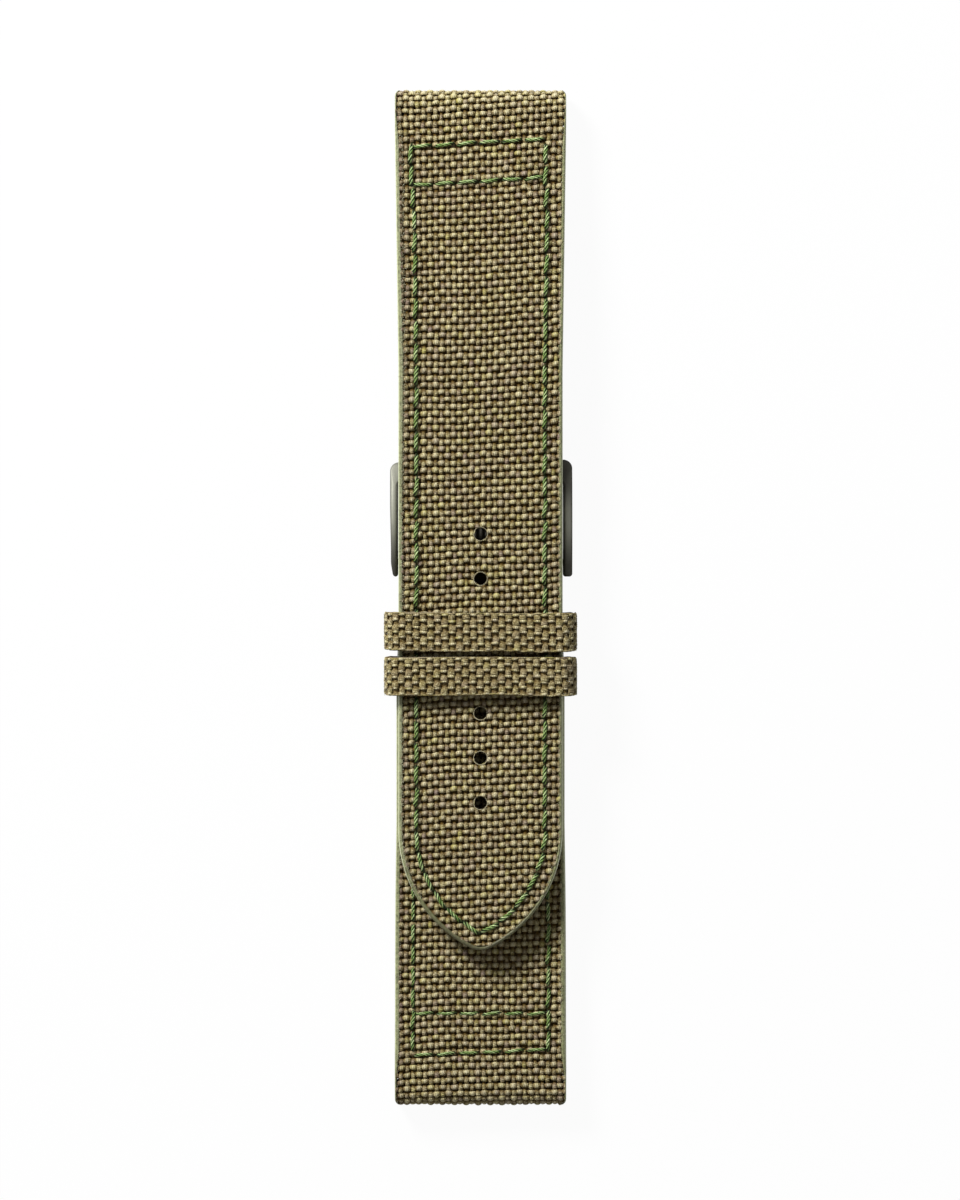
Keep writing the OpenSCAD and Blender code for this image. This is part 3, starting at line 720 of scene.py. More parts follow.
def drilled(mesh, cutters):
    """The mesh less some closed meshes, by an exact boolean."""
    body, tools = put("drilled", mesh), [put("drill", cutter) for cutter in cutters]
    for tool in tools:
        cut = body.modifiers.new("cut", "BOOLEAN")
        cut.operation, cut.solver, cut.object = "DIFFERENCE", "EXACT", tool
    seen = body.evaluated_get(bpy.context.evaluated_depsgraph_get())
    done = bpy.data.meshes.new_from_object(seen)
    for used in (body, *tools):
        bpy.data.objects.remove(used)
    return done


print("mesh helpers ready")

# %% [markdown]
# ## The canvas
# A picture of a weave, or bumps on a flat sheet, looks flat as soon as light comes from the side.
# Here each yarn is a real tube that rises and dips over its neighbours, along the path of the
# cloth: over the face, round the looped ends and turned under. The thick weft runs across the
# strap, with a slight slant, and the thinner warp runs along it.

# %% The path of the cloth
TURNED_IN, LOOP_TURNED_IN = 9.0, 5.8
END_LEAN = {piece: math.degrees(lean(piece, BORE[piece])) for piece in SIDE_VIEW}


def roll(y, z, r, start, stop):
    a = np.radians(np.linspace(start, stop, 40)[1:-1])
    return stacked(y + r * np.cos(a), z + r * np.sin(a))


def cloth_line(piece):
    """The outside of the face canvas in the side view, from one cut end to the other."""
    y, r, a = BORE[piece], LUG_T / 2, END_LEAN[piece]
    if piece == "long":
        return np.concatenate([
            surface(piece, np.arange(TIP_Y - 0.4, y, STEP), FACE),
            roll(y, BORE_Z, r, 90 + a, a - 90),
            surface(piece, np.arange(y, y - TURNED_IN, -STEP), BACK),
        ])
    return np.concatenate([
        surface(piece, np.arange(y + TURNED_IN, y, -STEP), BACK),
        roll(y, BORE_Z, r, 270 + a, 90 + a),
        surface(piece, np.arange(y, BAR_Y, STEP), FACE),
        roll(BAR_Y, BAR_Z, LOOP_R, 90, -90),
        surface(piece, np.arange(BAR_Y, BAR_Y - LOOP_TURNED_IN, -STEP), BACK),
    ])


class Cloth:
    """A bent sheet. A place on it is u along its line, x across and a height above its outside."""

    def __init__(self, line):
        step = np.linalg.norm(np.diff(line, axis=0), axis=1)
        line = line[np.r_[True, step > 1e-4]]
        u = travelled(line)
        self.u = np.arange(0, u[-1], 0.1)
        self.line = between(self.u, u, line)
        way = np.gradient(self.line, axis=0)
        soft = np.hanning(11) / np.hanning(11).sum()
        way = np.stack([np.convolve(np.pad(w, 5, "edge"), soft, "valid") for w in way.T], -1)
        self.way = way / np.linalg.norm(way, axis=1)[:, None]
        self.length = self.u[-1]
        self.across = self.turn(0.0, 1.0, 0.0)

    def turn(self, ahead, aside, up):
        """Coordinates from a distance the line's way, one across it and one upwards."""
        return stacked(aside, ahead, up)

    def aside(self, x, spot):
        return x

    def y(self, u):
        return np.interp(u, self.u, self.line[:, 0])

    def along(self, u):
        way = between(u, self.u, self.way)
        return self.turn(way[:, 0], 0.0, way[:, 1])

    def up(self, u):
        way = between(u, self.u, self.way)
        return self.turn(-way[:, 1], 0.0, way[:, 0])

    def point(self, u, x, height):
        spot = between(u, self.u, self.line)
        outside = self.turn(spot[:, 0], self.aside(x, spot), spot[:, 1])
        return outside + self.up(u) * height[:, None]


CLOTH = {piece: Cloth(cloth_line(piece)) for piece in SIDE_VIEW}
print("canvas lengths in mm:", {piece: round(c.length, 1) for piece, c in CLOTH.items()})

# %% [markdown]
# A yarn ends where the canvas is cut: at the outline, at a hole or at a cut end of the cloth. The
# spare distance to the nearest cut is positive inside, so a yarn is split into the runs where it
# stays positive, and each run ends exactly on the cut.

# %% Split a yarn into its runs


def runs(t, spare):
    """The stretches of t where spare is positive, ending where it reaches zero."""
    edges = np.flatnonzero(np.diff(np.r_[False, spare > 0, False].astype(int)))
    found = []
    for a, b in zip(edges[::2], edges[1::2]):
        part = list(t[a:b])
        if a > 0:
            share = spare[a] / (spare[a] - spare[a - 1])
            part.insert(0, t[a] - share * (t[a] - t[a - 1]))
        if b < len(t):
            share = spare[b - 1] / (spare[b - 1] - spare[b])
            part.append(t[b - 1] + share * (t[b] - t[b - 1]))
        part = np.array(part)
        keep = np.r_[True, np.diff(part) > 0.02]
        if keep.sum() > 2:
            found.append(part[keep])
    return found


def spare_room(piece, u, x):
    y = CLOTH[piece].y(u)
    room = cut_edge(piece, x, y) - np.abs(x) + 0.2
    room = np.minimum(room, from_hole(piece, x, y) + (0.4 if piece == "long" else 0))
    return np.minimum(room, np.minimum(u, CLOTH[piece].length - u))


def cut_points(piece, points):
    """Moves points that stand past the cut outline or inside a hole back to the cut."""
    x, y, z = points.T
    if piece == "long":
        y = np.maximum(y, TIP_Y + 0.58)
    reach = cut_edge(piece, x, y)
    x = np.clip(x, -reach, reach)
    if piece == "long":
        for hole in HOLES_Y:
            away = np.maximum(np.hypot(x, y - hole), 1e-6)
            push = np.maximum(HOLE_R / away, 1.0)
            x, y = x * push, hole + (y - hole) * push
    return stacked(x, y, z)


print("spare at the middle:", spare_room("long", np.array([60.0]), np.array([3.0])))

# %% [markdown]
# In a plain weave each crossing has one yarn on top, and the next crossing the other. The height
# along a yarn is a wave that changes sign from one crossing to the next. Small random steps in
# place, thickness and tone at each crossing take away the look of a machine drawing.

# %% Weave one piece of canvas
WARP_PITCH, WEFT_PITCH = 0.794, 0.955
SLANT = {"long": math.tan(math.radians(3.3)), "short": math.tan(math.radians(1.7))}
# In each kind, glow gives how a yarn's painted light level follows its height, as a gain and an
# offset: painted light on the raised floats, painted shade where the yarn dives.
WEFT = dict(across=True, wide=0.32, high=0.24, swing=0.16, base=0.40, tone=0.2, tint=0.0,
            power=0.68, dip=1.0, glow=(1.0, 0.05), vary=1.0)
WARP = dict(across=False, wide=0.265, high=0.17, swing=0.18, base=0.445, tone=-0.6, tint=-0.2,
            power=0.9, dip=1.45, glow=(1.1, -0.25), vary=1.0)
WARP_SLIP = 0.17
SLUB, WEFT_SHIFT, WARP_SHIFT = 0.10, 0.058, 0.055
HEIGHT_SHIFT, TONE_SHIFT, TINT_SHIFT = 0.022, 0.9, 0.52
# Below: how far the darkening beside the paint and the painted light on the watch-end roll move a
# yarn's tone and its painted light level, and how much painted shade the sunk seam gets.
WIDER_ON_TOP, EDGE_DARK_ROLL_LIT_TONE, SUNK_SHADE, EDGE_DARK_ROLL_LIT_SHADE = 0.17, 0.9, 1.6, 0.35
CHANNEL_DEPTH, CHANNEL_HALF, DIMPLE_DEPTH, DIMPLE_R = 0.12, 0.42, 0.20, 0.5
# How much lighter the yarns are painted on top, and darker on their sides and undersides, as
# painted light and shade.
YARN_UP_LIGHT, BAND_UP_LIGHT = 0.55, 0.5


def wave(phase, sign, kind):
    """Height along a yarn from -1 to 1. A dip above 1 keeps it up for a shorter way."""
    c = np.cos(np.pi * phase)
    c = sign * np.sign(c) * np.abs(c) ** kind["power"]
    return 2 * ((1 + c) / 2) ** kind["dip"] - 1


def drift(cloth, u, x):
    """How far the cloth is pulled out of true at a place. Neighbouring yarns share it."""
    held = ease(np.minimum(u, cloth.length - u) / 2)
    along = 0.11 * np.sin(x / 4.7 + u / 23 + 1) + 0.04 * np.sin(x / 2.1 - u / 11)
    along = along + 0.02 * np.sin(x / 1.1 + u / 5)
    aside = 0.09 * np.sin(u / 6.1 + x / 17) + 0.05 * np.sin(u / 2.7 + x / 5 + 2)
    return u + along * held, x + aside * held


def yarn(kind, cloth, u, x, phase, sign, rng, sink, edge_dark_roll_lit=0.0):
    """One run of yarn as a strand for tube_mesh."""
    run = x if kind["across"] else u
    u, x = drift(cloth, u, x)
    knots = np.arange(np.floor(phase[0]) - 1, np.ceil(phase[-1]) + 2)

    def wander(size):
        return np.interp(phase, knots, rng.normal(0, size, len(knots)))

    rise = wave(phase, sign, kind)
    slub = 1 + wander(SLUB)
    if kind["across"]:
        u = u + wander(WEFT_SHIFT)
    else:
        x = x + wander(WARP_SHIFT)
    height = -kind["base"] + kind["swing"] * rise + wander(HEIGHT_SHIFT) - sink
    return strand(
        cloth.point(u, x, height), cloth.along(u) if kind["across"] else cloth.across, cloth.up(u),
        kind["wide"] * slub * (1 + WIDER_ON_TOP * rise), kind["high"] * slub, run,
        # Darker beside the paint and painted lighter on the watch-end roll; the painted light
        # level follows the yarn's height, with painted shade where the yarn sinks along the seam.
        tone=kind["tone"] + wander(TONE_SHIFT * kind["vary"]) - EDGE_DARK_ROLL_LIT_TONE * edge_dark_roll_lit,
        tint=kind["tint"] + wander(TINT_SHIFT * kind["vary"]) - EDGE_DARK_ROLL_LIT_TONE * edge_dark_roll_lit,
        lift=kind["glow"][0] * rise + kind["glow"][1] - SUNK_SHADE * sink - EDGE_DARK_ROLL_LIT_SHADE * edge_dark_roll_lit,
    )


def seam_sink(piece, u, x):
    """How far the cloth is pulled down along the seam, and more at the needle holes."""
    y, ends = CLOTH[piece].y(u), NEEDLE_HOLES[piece]
    near = np.hypot(x[:, None] - ends[:, 0], y[:, None] - ends[:, 1]).min(1)
    channel = np.exp(-((seam_gap(piece, x, y) / CHANNEL_HALF) ** 2))
    return CHANNEL_DEPTH * channel + DIMPLE_DEPTH * np.exp(-((near / DIMPLE_R) ** 2))


def edge_dark_and_roll_light(piece, u, x):
    """1 where the canvas is darker beside the paint, mostly on the left side; below 0 on the long
    piece's watch-end roll, which is painted lighter, as painted light.
    """
    y = CLOTH[piece].y(u)
    reach = 0.55 + 0.25 * ease((y - 10) / 40) * (x < 0)
    beside_paint = np.exp(-(((cut_edge(piece, x, y) - np.abs(x)) / reach) ** 2))
    return beside_paint * np.where(x < 0, 1.0, 0.25) - 0.35 * ease((y - 64.0) / 3)


def weave(piece, seed):
    """All weft and warp strands of one piece of canvas."""
    rng, cloth, slant = np.random.default_rng(seed), CLOTH[piece], SLANT[piece]
    found = {"weft": [], "warp": []}

    def lay(name, kind, u, x, phase, sign):
        sink, edge_dark_roll_lit = seam_sink(piece, u, x), edge_dark_and_roll_light(piece, u, x)
        found[name].append(yarn(kind, cloth, u, x, phase, sign, rng, sink, edge_dark_roll_lit))

    x_all = np.arange(-12, 12.01, WARP_PITCH / 4)
    for j in range(-2, int(cloth.length / WEFT_PITCH) + 3):
        for x in runs(x_all, spare_room(piece, j * WEFT_PITCH + slant * x_all, x_all)):
            lay("weft", WEFT, j * WEFT_PITCH + slant * x, x, x / WARP_PITCH - 0.5, (-1) ** j)
    u_all = np.arange(-0.2, cloth.length + 0.2, WEFT_PITCH / 4)
    for i in range(-15, 15):
        middle = (i + 0.5) * WARP_PITCH
        for u in runs(u_all, spare_room(piece, u_all, 0 * u_all + middle)):
            phase = (u - slant * middle) / WEFT_PITCH + WARP_SLIP
            lay("warp", WARP, u, 0 * u + middle, phase, -((-1) ** i))
    return found


for piece, seed in (("long", 11), ("short", 12)):
    for name, strands in weave(piece, seed).items():
        mesh = tube_mesh(strands, cut_to=piece, up_light=YARN_UP_LIGHT)
        add_piece(f"{piece}_canvas_{name}", mesh, YARN, f"{piece}_face_canvas")

# %% [markdown]
# ## Padding and lining
# Under the canvas lies felt padding, which shows only as darkness between the yarns and in the
# holes. The leather lining closes the back. Both are slabs whose columns follow the outline, so
# that a pressed groove can follow the seam, even round the point.

# %% Slabs that follow the outline
COLUMNS = np.array([0.0, 0.12, 0.5, 1.2, 1.6, 1.75, 1.87, 2.0, 2.15, 2.6, 4.0, 5.4, 6.8, 8.2, 9.6])
UNDER_CANVAS, OVER_LINING, LINING_T, GROOVE_DEPTH, GROOVE_HALF = 0.58, 0.72, 0.80, 0.42, 0.24
PADDING_INSET, LINING_INSET, PADDING_HOLE_R, LINING_HOLE_R = 0.45, 0.50, 0.86, 0.77


def slab(piece, ys, top, bottom, inset, hole_r):
    """A closed slab, drilled for the holes. Its top and bottom are each a side and a depth."""
    rings = []
    for y in ys:
        least = 0.04 * np.arange(len(COLUMNS), 0, -1)
        xs = np.maximum(half_width(piece, y, inset + COLUMNS), least)
        xs = np.r_[-xs, xs[::-1]]
        xs = xs + float(seam_shift(piece, y)) * (np.abs(xs) < half_width(piece, y, inset + 1.4))
        low, high = (np.c_[xs, surface(piece, np.full_like(xs, y), side, depth(piece, xs, y))]
                     for side, depth in (bottom, top))
        rings.append(np.r_[low, high[::-1]])
    mesh = loft_mesh(rings)
    if piece == "long":
        mesh = drilled(mesh, [rod_mesh((0, h, 2), (0, h, 9), hole_r) for h in HOLES_Y])
    return mesh


def padding_top(piece, x, y):
    return UNDER_CANVAS + 0.12 * (seam_gap(piece, x, y) < 0.3)


def padding_low(piece, x, y):
    return OVER_LINING


def lining_top(piece, x, y):
    return LINING_T


def lining_groove(piece, x, y):
    """The lining is pressed in along the seam."""
    return GROOVE_DEPTH * np.exp(-((seam_gap(piece, x, y) / GROOVE_HALF) ** 4))


tip_ys = TIP_Y + 0.60 + 16 * (np.linspace(0, 1, 26) ** 2)
for piece, ys in (
    ("long", np.r_[tip_ys, np.linspace(tip_ys[-1] + 1, BORE["long"] - 1.5, 60)]),
    ("short", np.linspace(BORE["short"] + 1.5, BAR_Y - 1.0, 60)),
):
    mesh = slab(piece, ys, (FACE, padding_top), (BACK, padding_low), PADDING_INSET, PADDING_HOLE_R)
    add_piece(f"{piece}_padding", mesh, PADDING, f"{piece}_core")

# %% [markdown]
# The lining starts where the turned-in canvas ends. It gets more stations where a cross row
# presses its groove.

# %% Leather lining of both pieces
LINING_END = TURNED_IN + 0.05
for piece, ys in (
    ("long", np.r_[tip_ys - 0.1, np.linspace(tip_ys[-1] + 1, BORE["long"] - LINING_END, 110)]),
    ("short", np.linspace(BORE["short"] + LINING_END, BAR_Y - LOOP_TURNED_IN - 0.05, 110)),
):
    first, last = ys[0], ys[-1]
    for row, rise in ROWS[piece]:
        ys = np.r_[ys, np.arange(row - rise / 2 - 0.45, row + rise / 2 + 0.45, 0.09)]
    ys = np.unique(ys[(ys >= first) & (ys <= last)])
    mesh = slab(piece, ys, (BACK, lining_top), (BACK, lining_groove), LINING_INSET, LINING_HOLE_R)
    add_piece(f"{piece}_leather", mesh, LEATHER, f"{piece}_lining")

# %% [markdown]
# Where the canvas is rolled round a sleeve or round the buckle's bar, a ring of backing keeps
# daylight from showing between the yarns; its near-black felt shows there as painted shade. The
# loop round the bar leaves room for the tongue.

# %% Backing inside the rolled ends
for name, piece, y, z, inner, outer, gap in (
    ("long_roll", "long", BORE["long"], BORE_Z, 1.37, 1.60, 0.0),
    ("short_roll", "short", BORE["short"], BORE_Z, 1.37, 1.60, 0.0),
    ("short_loop", "short", BAR_Y, BAR_Z, 0.86, 1.07, TONGUE_ROOM),
):
    reach = float(half_width(piece, y, 0.45))
    for s, side in ((-1, "left"), (1, "right")):
        profile = [(outer, s * reach), (outer, s * gap), (inner, s * gap), (inner, s * reach)]
        add_piece(f"{name}_backing_{side}", turned(profile, y, z), PADDING, f"{piece}_face_canvas")

# %% [markdown]
# ## Painted edges
# The edge paint is a smooth rounded bead with a lip against the canvas. It is lofted round the
# outline: at each station a rounded section is set square to the edge, as high as the strap is
# there, so it closes to a point where the watch end's roll closes.

# %% The side view as heights over y


def side_heights(piece, side):
    """A table of the highest or lowest place of the whole side view at each y."""
    r, y = LUG_T / 2, BORE[piece]
    if piece == "long":
        straight = surface(piece, np.arange(TIP_Y - 1, y, STEP), side)
        return np.r_[straight, roll(y, BORE_Z, r, END_LEAN[piece] + 90 * side, 0)]
    straight = surface(piece, np.arange(y, BAR_Y, STEP), side)
    loop = roll(BAR_Y, BAR_Z, LOOP_R, 90 * side, 0)
    return np.r_[roll(y, BORE_Z, r, 180, 180 - 90 * side), straight, loop]


HEIGHTS = {(piece, side): side_heights(piece, side)
           for piece in SIDE_VIEW for side in (FACE, BACK)}


def height(piece, side, y):
    table = HEIGHTS[piece, side]
    return np.interp(y, table[:, 0], table[:, 1])


print("face height over the buckle:", round(float(height("long", FACE, BAR_Y)), 2))

# %% [markdown]
# A section runs from the hidden inner top, over the lip and the rounded side, to the inner
# bottom. The bead carries a painted highlight on its lip and, above all, on its outer edge,
# stronger on the left side of the strap, which faces the light, and it is darker towards the long
# piece's tip.

# %% The bead of paint
BEAD = [(1.25, 0.50), (1.12, 0.16), (0.98, 0.09), (0.80, 0.07), (0.60, 0.09), (0.40, 0.13),
        (0.24, 0.20), (0.10, 0.33), (0.03, 0.52), (0.0, 0.80)]
# Painted highlight across a section, for the left and the right side of the strap; the left side
# faces the light.
SHINE_LEFT = [0, 0.1, 0.42, 0.30, 0.12, 0.05, 0.3, 0.95, 1.0, 0.3]
SHINE_RIGHT = [0, 0, 0.1, 0.05, 0, 0.25, 0.9, 1.0, 0.6, 0.2]
SLEEVE_R, TUBE_ROOM_R = 1.38, 0.85


def bead_ring(piece, x, y, nx, ny):
    """A section at a place of the outline, by its shares of the paint's width and its depths."""
    top, low = float(height(piece, FACE, y)), float(height(piece, BACK, y))
    room = min(1.0, (top - low) / 2.4)
    width = float(paint_width(piece, x, y)) + 0.10
    insets = [share * width for share, _ in BEAD]
    insets[0] = max(insets[0], 0.56 * float(end_narrowing(y)))
    upper = [(inset, top - depth * room) for inset, (_, depth) in zip(insets, BEAD)]
    lower = [(inset, low + depth * room) for inset, (_, depth) in zip(insets[::-1], BEAD[::-1])]
    return [(x - nx * inset, y - ny * inset, z) for inset, z in upper + lower]


def bead_shine(piece, x, y):
    """The painted highlight on each point of a section, or below 0 how much darker it is near the
    tip.
    """
    away_from_tip = float(ease((y + 46.5) / 12)) if piece == "long" else 0.75
    shine = SHINE_LEFT if x < 0 else SHINE_RIGHT
    brightness_shift = 0.0 if piece == "short" else 0.65 * (1 - away_from_tip)
    return [away_from_tip * v - brightness_shift for v in shine + shine[::-1]]


def bead(piece, stations):
    rims = [bead_shine(piece, x, y) for x, y, _, _ in stations]
    return loft_mesh([bead_ring(piece, *s) for s in stations], rim=rims)


def side_stations(piece, s, ys):
    """Places and outward directions along one side."""
    return [(s * float(half_width(piece, y)), float(y), s, 0.0) for y in ys]


def round_end(r, count):
    """Steps out from a roll's axis to nearly its end, closer and closer."""
    return (r - 0.12) * np.sin(np.linspace(0, 0.497 * np.pi, count))


end_ys = BORE["long"] + round_end(LUG_T / 2, 14)
run_ys = np.linspace(TIP_START, BORE["long"], 120)[1:-1]
arcs = []
for a in np.linspace(0, math.acos(TIP_SIDE_X / TIP_SIDE_R), 46):
    c, d = math.cos(a), math.sin(a)
    arcs.append((TIP_SIDE_R * c - TIP_SIDE_X, TIP_START - TIP_SIDE_R * d, c, -d))
arcs = [a for a in arcs if a[1] > TIP_Y + 0.12]
nose = [(NOSE_R * math.sin(b), TIP_Y + NOSE_R - NOSE_R * math.cos(b), math.sin(b), -math.cos(b))
        for b in np.linspace(0.045, 0, 4)]
half = side_stations("long", 1, np.r_[end_ys[::-1], run_ys[::-1]]) + arcs + nose
whole = half + [(-x, y, -nx, ny) for x, y, nx, ny in half[-2::-1]]
edge_mesh = drilled(bead("long", whole), [cross_rod(BORE["long"], BORE_Z, SLEEVE_R)])
add_piece("long_edge", edge_mesh, EDGE, "long_edge_seal")
run_ys = np.linspace(BORE["short"], BAR_Y, 80)[1:-1]
short_ys = np.r_[BORE["short"] - round_end(LUG_T / 2, 14)[::-1], run_ys,
                 BAR_Y + round_end(LOOP_R, 10)]
for side, s in (("left", -1), ("right", 1)):
    drills = [cross_rod(BORE["short"], BORE_Z, SLEEVE_R), cross_rod(BAR_Y, BAR_Z, TUBE_ROOM_R)]
    edge_mesh = drilled(bead("short", side_stations("short", s, short_ys)), drills)
    add_piece(f"short_edge_{side}", edge_mesh, EDGE, "short_edge_seal")

# %% [markdown]
# ## Stitching
# Sewing thread is three plies twisted together. Each stitch comes out of one needle hole, lies on
# the cloth and dives into the next. The plies are modelled as three tubes that wind round the
# stitch's own path, which gives the small slanting strokes that the photograph shows. The bobbin
# thread on the back is thinner, with two plies.

# %% Thread
ROUND = np.radians(-90 + np.arange(0, 360, 72.0))
STITCH_REACH = 1.38
NEEDLE = {"long": (0.30, 0.05), "short": (0.265, 0.12)}
BOBBIN = (0.20, 0.20)
# How much lighter each ply is painted on its outer side than in the grooves between plies, as
# painted light and shade.
NEEDLE_UP_LIGHT, BOBBIN_UP_LIGHT = 1.1, 0.45
STEEP, ROW_THINNER, SIDE_SLANT, ROW_SLANT = 1.3, 0.84, math.radians(5), math.radians(-3)
DIVE, WOBBLE, PLY_PRESS = 0.70, 0.05, 1.06


def skin(piece, y, side):
    """Height and outward direction of the face or back at a true distance along the strap."""
    slope = (height(piece, side, y + 0.3) - height(piece, side, y - 0.3)) / 0.6
    up = stacked(0.0, -slope, 1.0)
    return height(piece, side, y), side * up / np.linalg.norm(up, axis=1)[:, None]


def unit(v):
    return v / np.linalg.norm(v, axis=1)[:, None]


def stitch(piece, place, side, r, depth, plies, lay, rings, rng):
    """The plies of one stitch, as strands for tube_mesh. They turn once in the length of lay."""
    x, y, heading = place
    cross = abs(heading) > STEEP
    r = r * ROW_THINNER if cross else r
    heading = heading + side * (ROW_SLANT if cross else SIDE_SLANT) + rng.normal(0, 0.03)
    s = np.sin(np.linspace(-np.pi / 2, np.pi / 2, rings)) * STITCH_REACH
    out_share = np.abs(s) / STITCH_REACH
    px, py = x + s * math.sin(heading), y + s * math.cos(heading)
    z, up = skin(piece, py, side)
    drop = -depth - DIVE * out_share ** 4.5 + rng.normal(0, 0.02)
    middle = stacked(px, py, z) + up * drop[:, None]
    ahead = unit(np.gradient(middle, axis=0))
    beside = unit(np.cross(ahead, up))
    above = np.cross(beside, ahead)
    middle = middle + beside * (WOBBLE * np.sin(s * 1.9 + rng.uniform(0, 6)))[:, None]
    start, found = rng.uniform(0, 2 * np.pi), []
    size = r * np.sin(np.pi / plies) / (1 + np.sin(np.pi / plies)) * PLY_PRESS
    for k in range(plies):
        turn = start + 2 * np.pi * (k / plies - s / lay)
        out = np.cos(turn)[:, None] * beside + np.sin(turn)[:, None] * above
        # Painted shade towards the needle holes and in the grooves between plies; cross-row
        # stitches are painted lighter at their left end, as if lit from the left.
        lift = 0.48 - 2.4 * out_share ** 3.1 + 0.15 * np.sin(turn)
        lift = lift - (0.3 if cross else 0.0) * s / STITCH_REACH
        tone = (-1) ** k * 0.8 + rng.normal(0, 0.5)
        found.append(strand(middle + (r - size) * out, np.cross(out, ahead), out,
                            size * 0.95, size, s, tone=tone, tint=0.0, lift=lift))
    return found


for piece in SIDE_VIEW:
    rng, needle, bobbin = np.random.default_rng(31), [], []
    for place in stitch_places(piece):
        needle += stitch(piece, place, FACE, *NEEDLE[piece], 3, 1.8, 23, rng)
        bobbin += stitch(piece, place, BACK, *BOBBIN, 2, 1.4, 12, rng)
    mesh = tube_mesh(needle, ROUND, up_light=NEEDLE_UP_LIGHT)
    add_piece(f"{piece}_thread", mesh, THREAD, f"{piece}_stitching")
    mesh = tube_mesh(bobbin, ROUND, up_light=BOBBIN_UP_LIGHT)
    add_piece(f"{piece}_bobbin", mesh, THREAD, f"{piece}_bobbin_thread")

# %% [markdown]
# Around each punched hole the cut yarn ends fray into fibre stubs. They are short, thin tubes that
# start on the cloth and bend over the rim. A thin pale ring along each hole's edge is a painted
# highlight where light catches the cut edge.

# %% Frayed rims of the holes
STUB_RING, UP = np.radians([-90.0, 30.0, 150.0]), np.array([0.0, 0.0, 1.0])
STUB = dict(bend=0.25, arc=2.6, sink=0.0, thin=0.6, tone=(2.2, 0.8), tint=0.3, lift=1.6)
LOOSE = dict(bend=0.3, arc=math.pi, sink=0.06, thin=0.5, tone=(0, 0.9), tint=0.0, lift=1.5)
RIM_R = 0.04


def fibre(kind, at, heading, length, rise, r, rng):
    """One loose fibre from a place, that bows up and sideways and comes down again."""
    t = np.linspace(0, 1, 5)
    way = np.array([math.cos(heading), math.sin(heading), 0.0])
    beside = np.array([-way[1], way[0], 0.0])
    bow = rng.normal(0, kind["bend"]) * t * t * length
    middle = np.array(at) + np.outer(t * length, way) + np.outer(bow, beside)
    middle[:, 2] += rise * np.sin(t * kind["arc"]) - kind["sink"] * t
    tone = rng.normal(*kind["tone"])
    tint = rng.normal(0, kind["tint"]) if kind["tint"] else 0.0
    thick = r * (1 - kind["thin"] * t)
    return strand(middle, beside, UP, thick, thick, t, tone=tone, tint=tint, lift=kind["lift"])


rng, fray = np.random.default_rng(77), []
for hole in HOLES_Y:
    face = float(height("long", FACE, hole))
    for turn in np.linspace(0, 2 * np.pi, 46, endpoint=False) + rng.normal(0, 0.05, 46):
        r = HOLE_R + rng.uniform(0.04, 0.12)
        inward = turn + math.pi + rng.normal(0, 0.7)
        at = (r * math.cos(turn), hole + r * math.sin(turn), face - rng.uniform(0.06, 0.20))
        fray.append(fibre(STUB, at, inward, rng.uniform(0.08, 0.20), 0.03,
                          rng.uniform(0.022, 0.04), rng))
    # Painted highlight: a thin pale ring along the hole's edge, partly sunk under the yarns.
    turn = np.linspace(0, 2 * np.pi, 40)
    ripple = 0.012 * np.sin(3 * turn + hole) + 0.010 * np.sin(5 * turn + 2 * hole)
    out = stacked(np.cos(turn), np.sin(turn), 0.0)
    line = out * (HOLE_R + 0.02 + ripple)[:, None] + [0, hole, face - 0.15]
    line[:, 2] += 0.10 * np.sin(turn + 3.6 + 0.5 * math.sin(hole)) + 0.03 * np.sin(4 * turn + hole)
    fray.append(strand(line, out, UP, RIM_R, RIM_R, turn, tone=1.0, tint=0.0, lift=1.6))
add_piece("long_hole_rims", tube_mesh(fray, STUB_RING), YARN, "long_face_canvas")

# %% [markdown]
# The cut edge of the canvas frays where it meets the paint. Short loose fibres along it, some on
# the paint and some over the cloth, break the line between the two.

# %% Loose fibres along the edges
FUZZ_END, FUZZ_PITCH = 66.5, 0.12
FUZZ = Finish("frayed_fibre", roughness=0.9, specular_ior_level=0.1)
fluff = FUZZ.attribute("tone") * 0.25 + FUZZ.noise(3000, 2.0) * 0.5 + 0.25
FUZZ.wear(base_color=FUZZ.ramp(
    fluff, (0.05, (0.12, 0.105, 0.055)), (0.5, (0.33, 0.305, 0.19)), (0.95, (0.64, 0.61, 0.44))))

for piece in SIDE_VIEW:
    rng, fuzz = np.random.default_rng(91), []
    start, stop = (TIP_START - 9, FUZZ_END) if piece == "long" else (-FUZZ_END, BAR_Y - 1)
    for s in (-1, 1):
        twice = 2 if piece == "long" and s < 0 else 1
        for y in np.repeat(np.arange(start, stop, FUZZ_PITCH), twice):
            y = y + rng.uniform(-0.1, 0.1)
            zone = 0.40 + 0.40 * float(ease((y - 10) / 40)) * (s < 0)
            extent = float(paint_width(piece, s, y))
            inset = extent + rng.uniform(-0.12 * min(1.0, 2 * extent), zone)
            z = float(height(piece, FACE, y)) - rng.uniform(0.05, 0.16)
            heading = math.pi / 2 * (1 - s) + rng.normal(0, 1.1)
            length = rng.uniform(0.15, 0.45) * min(1.0, 0.15 + 1.6 * extent)
            at = (s * float(half_width(piece, y, inset)), y, z)
            fuzz.append(fibre(LOOSE, at, heading, length, rng.uniform(0.02, 0.09),
                              rng.uniform(0.025, 0.05), rng))
    add_piece(f"{piece}_edge_fuzz", tube_mesh(fuzz, STUB_RING), FUZZ, f"{piece}_face_canvas")

# %% [markdown]
# ## Keepers
# Each keeper is a strip of the same canvas turned crosswise: its warp runs round the band and its
# weft along the strap. The strip's long edges are folded in, so the band's top rounds down at both
# sides. It is woven in the same way as the strap, on the path of a round-cornered loop.

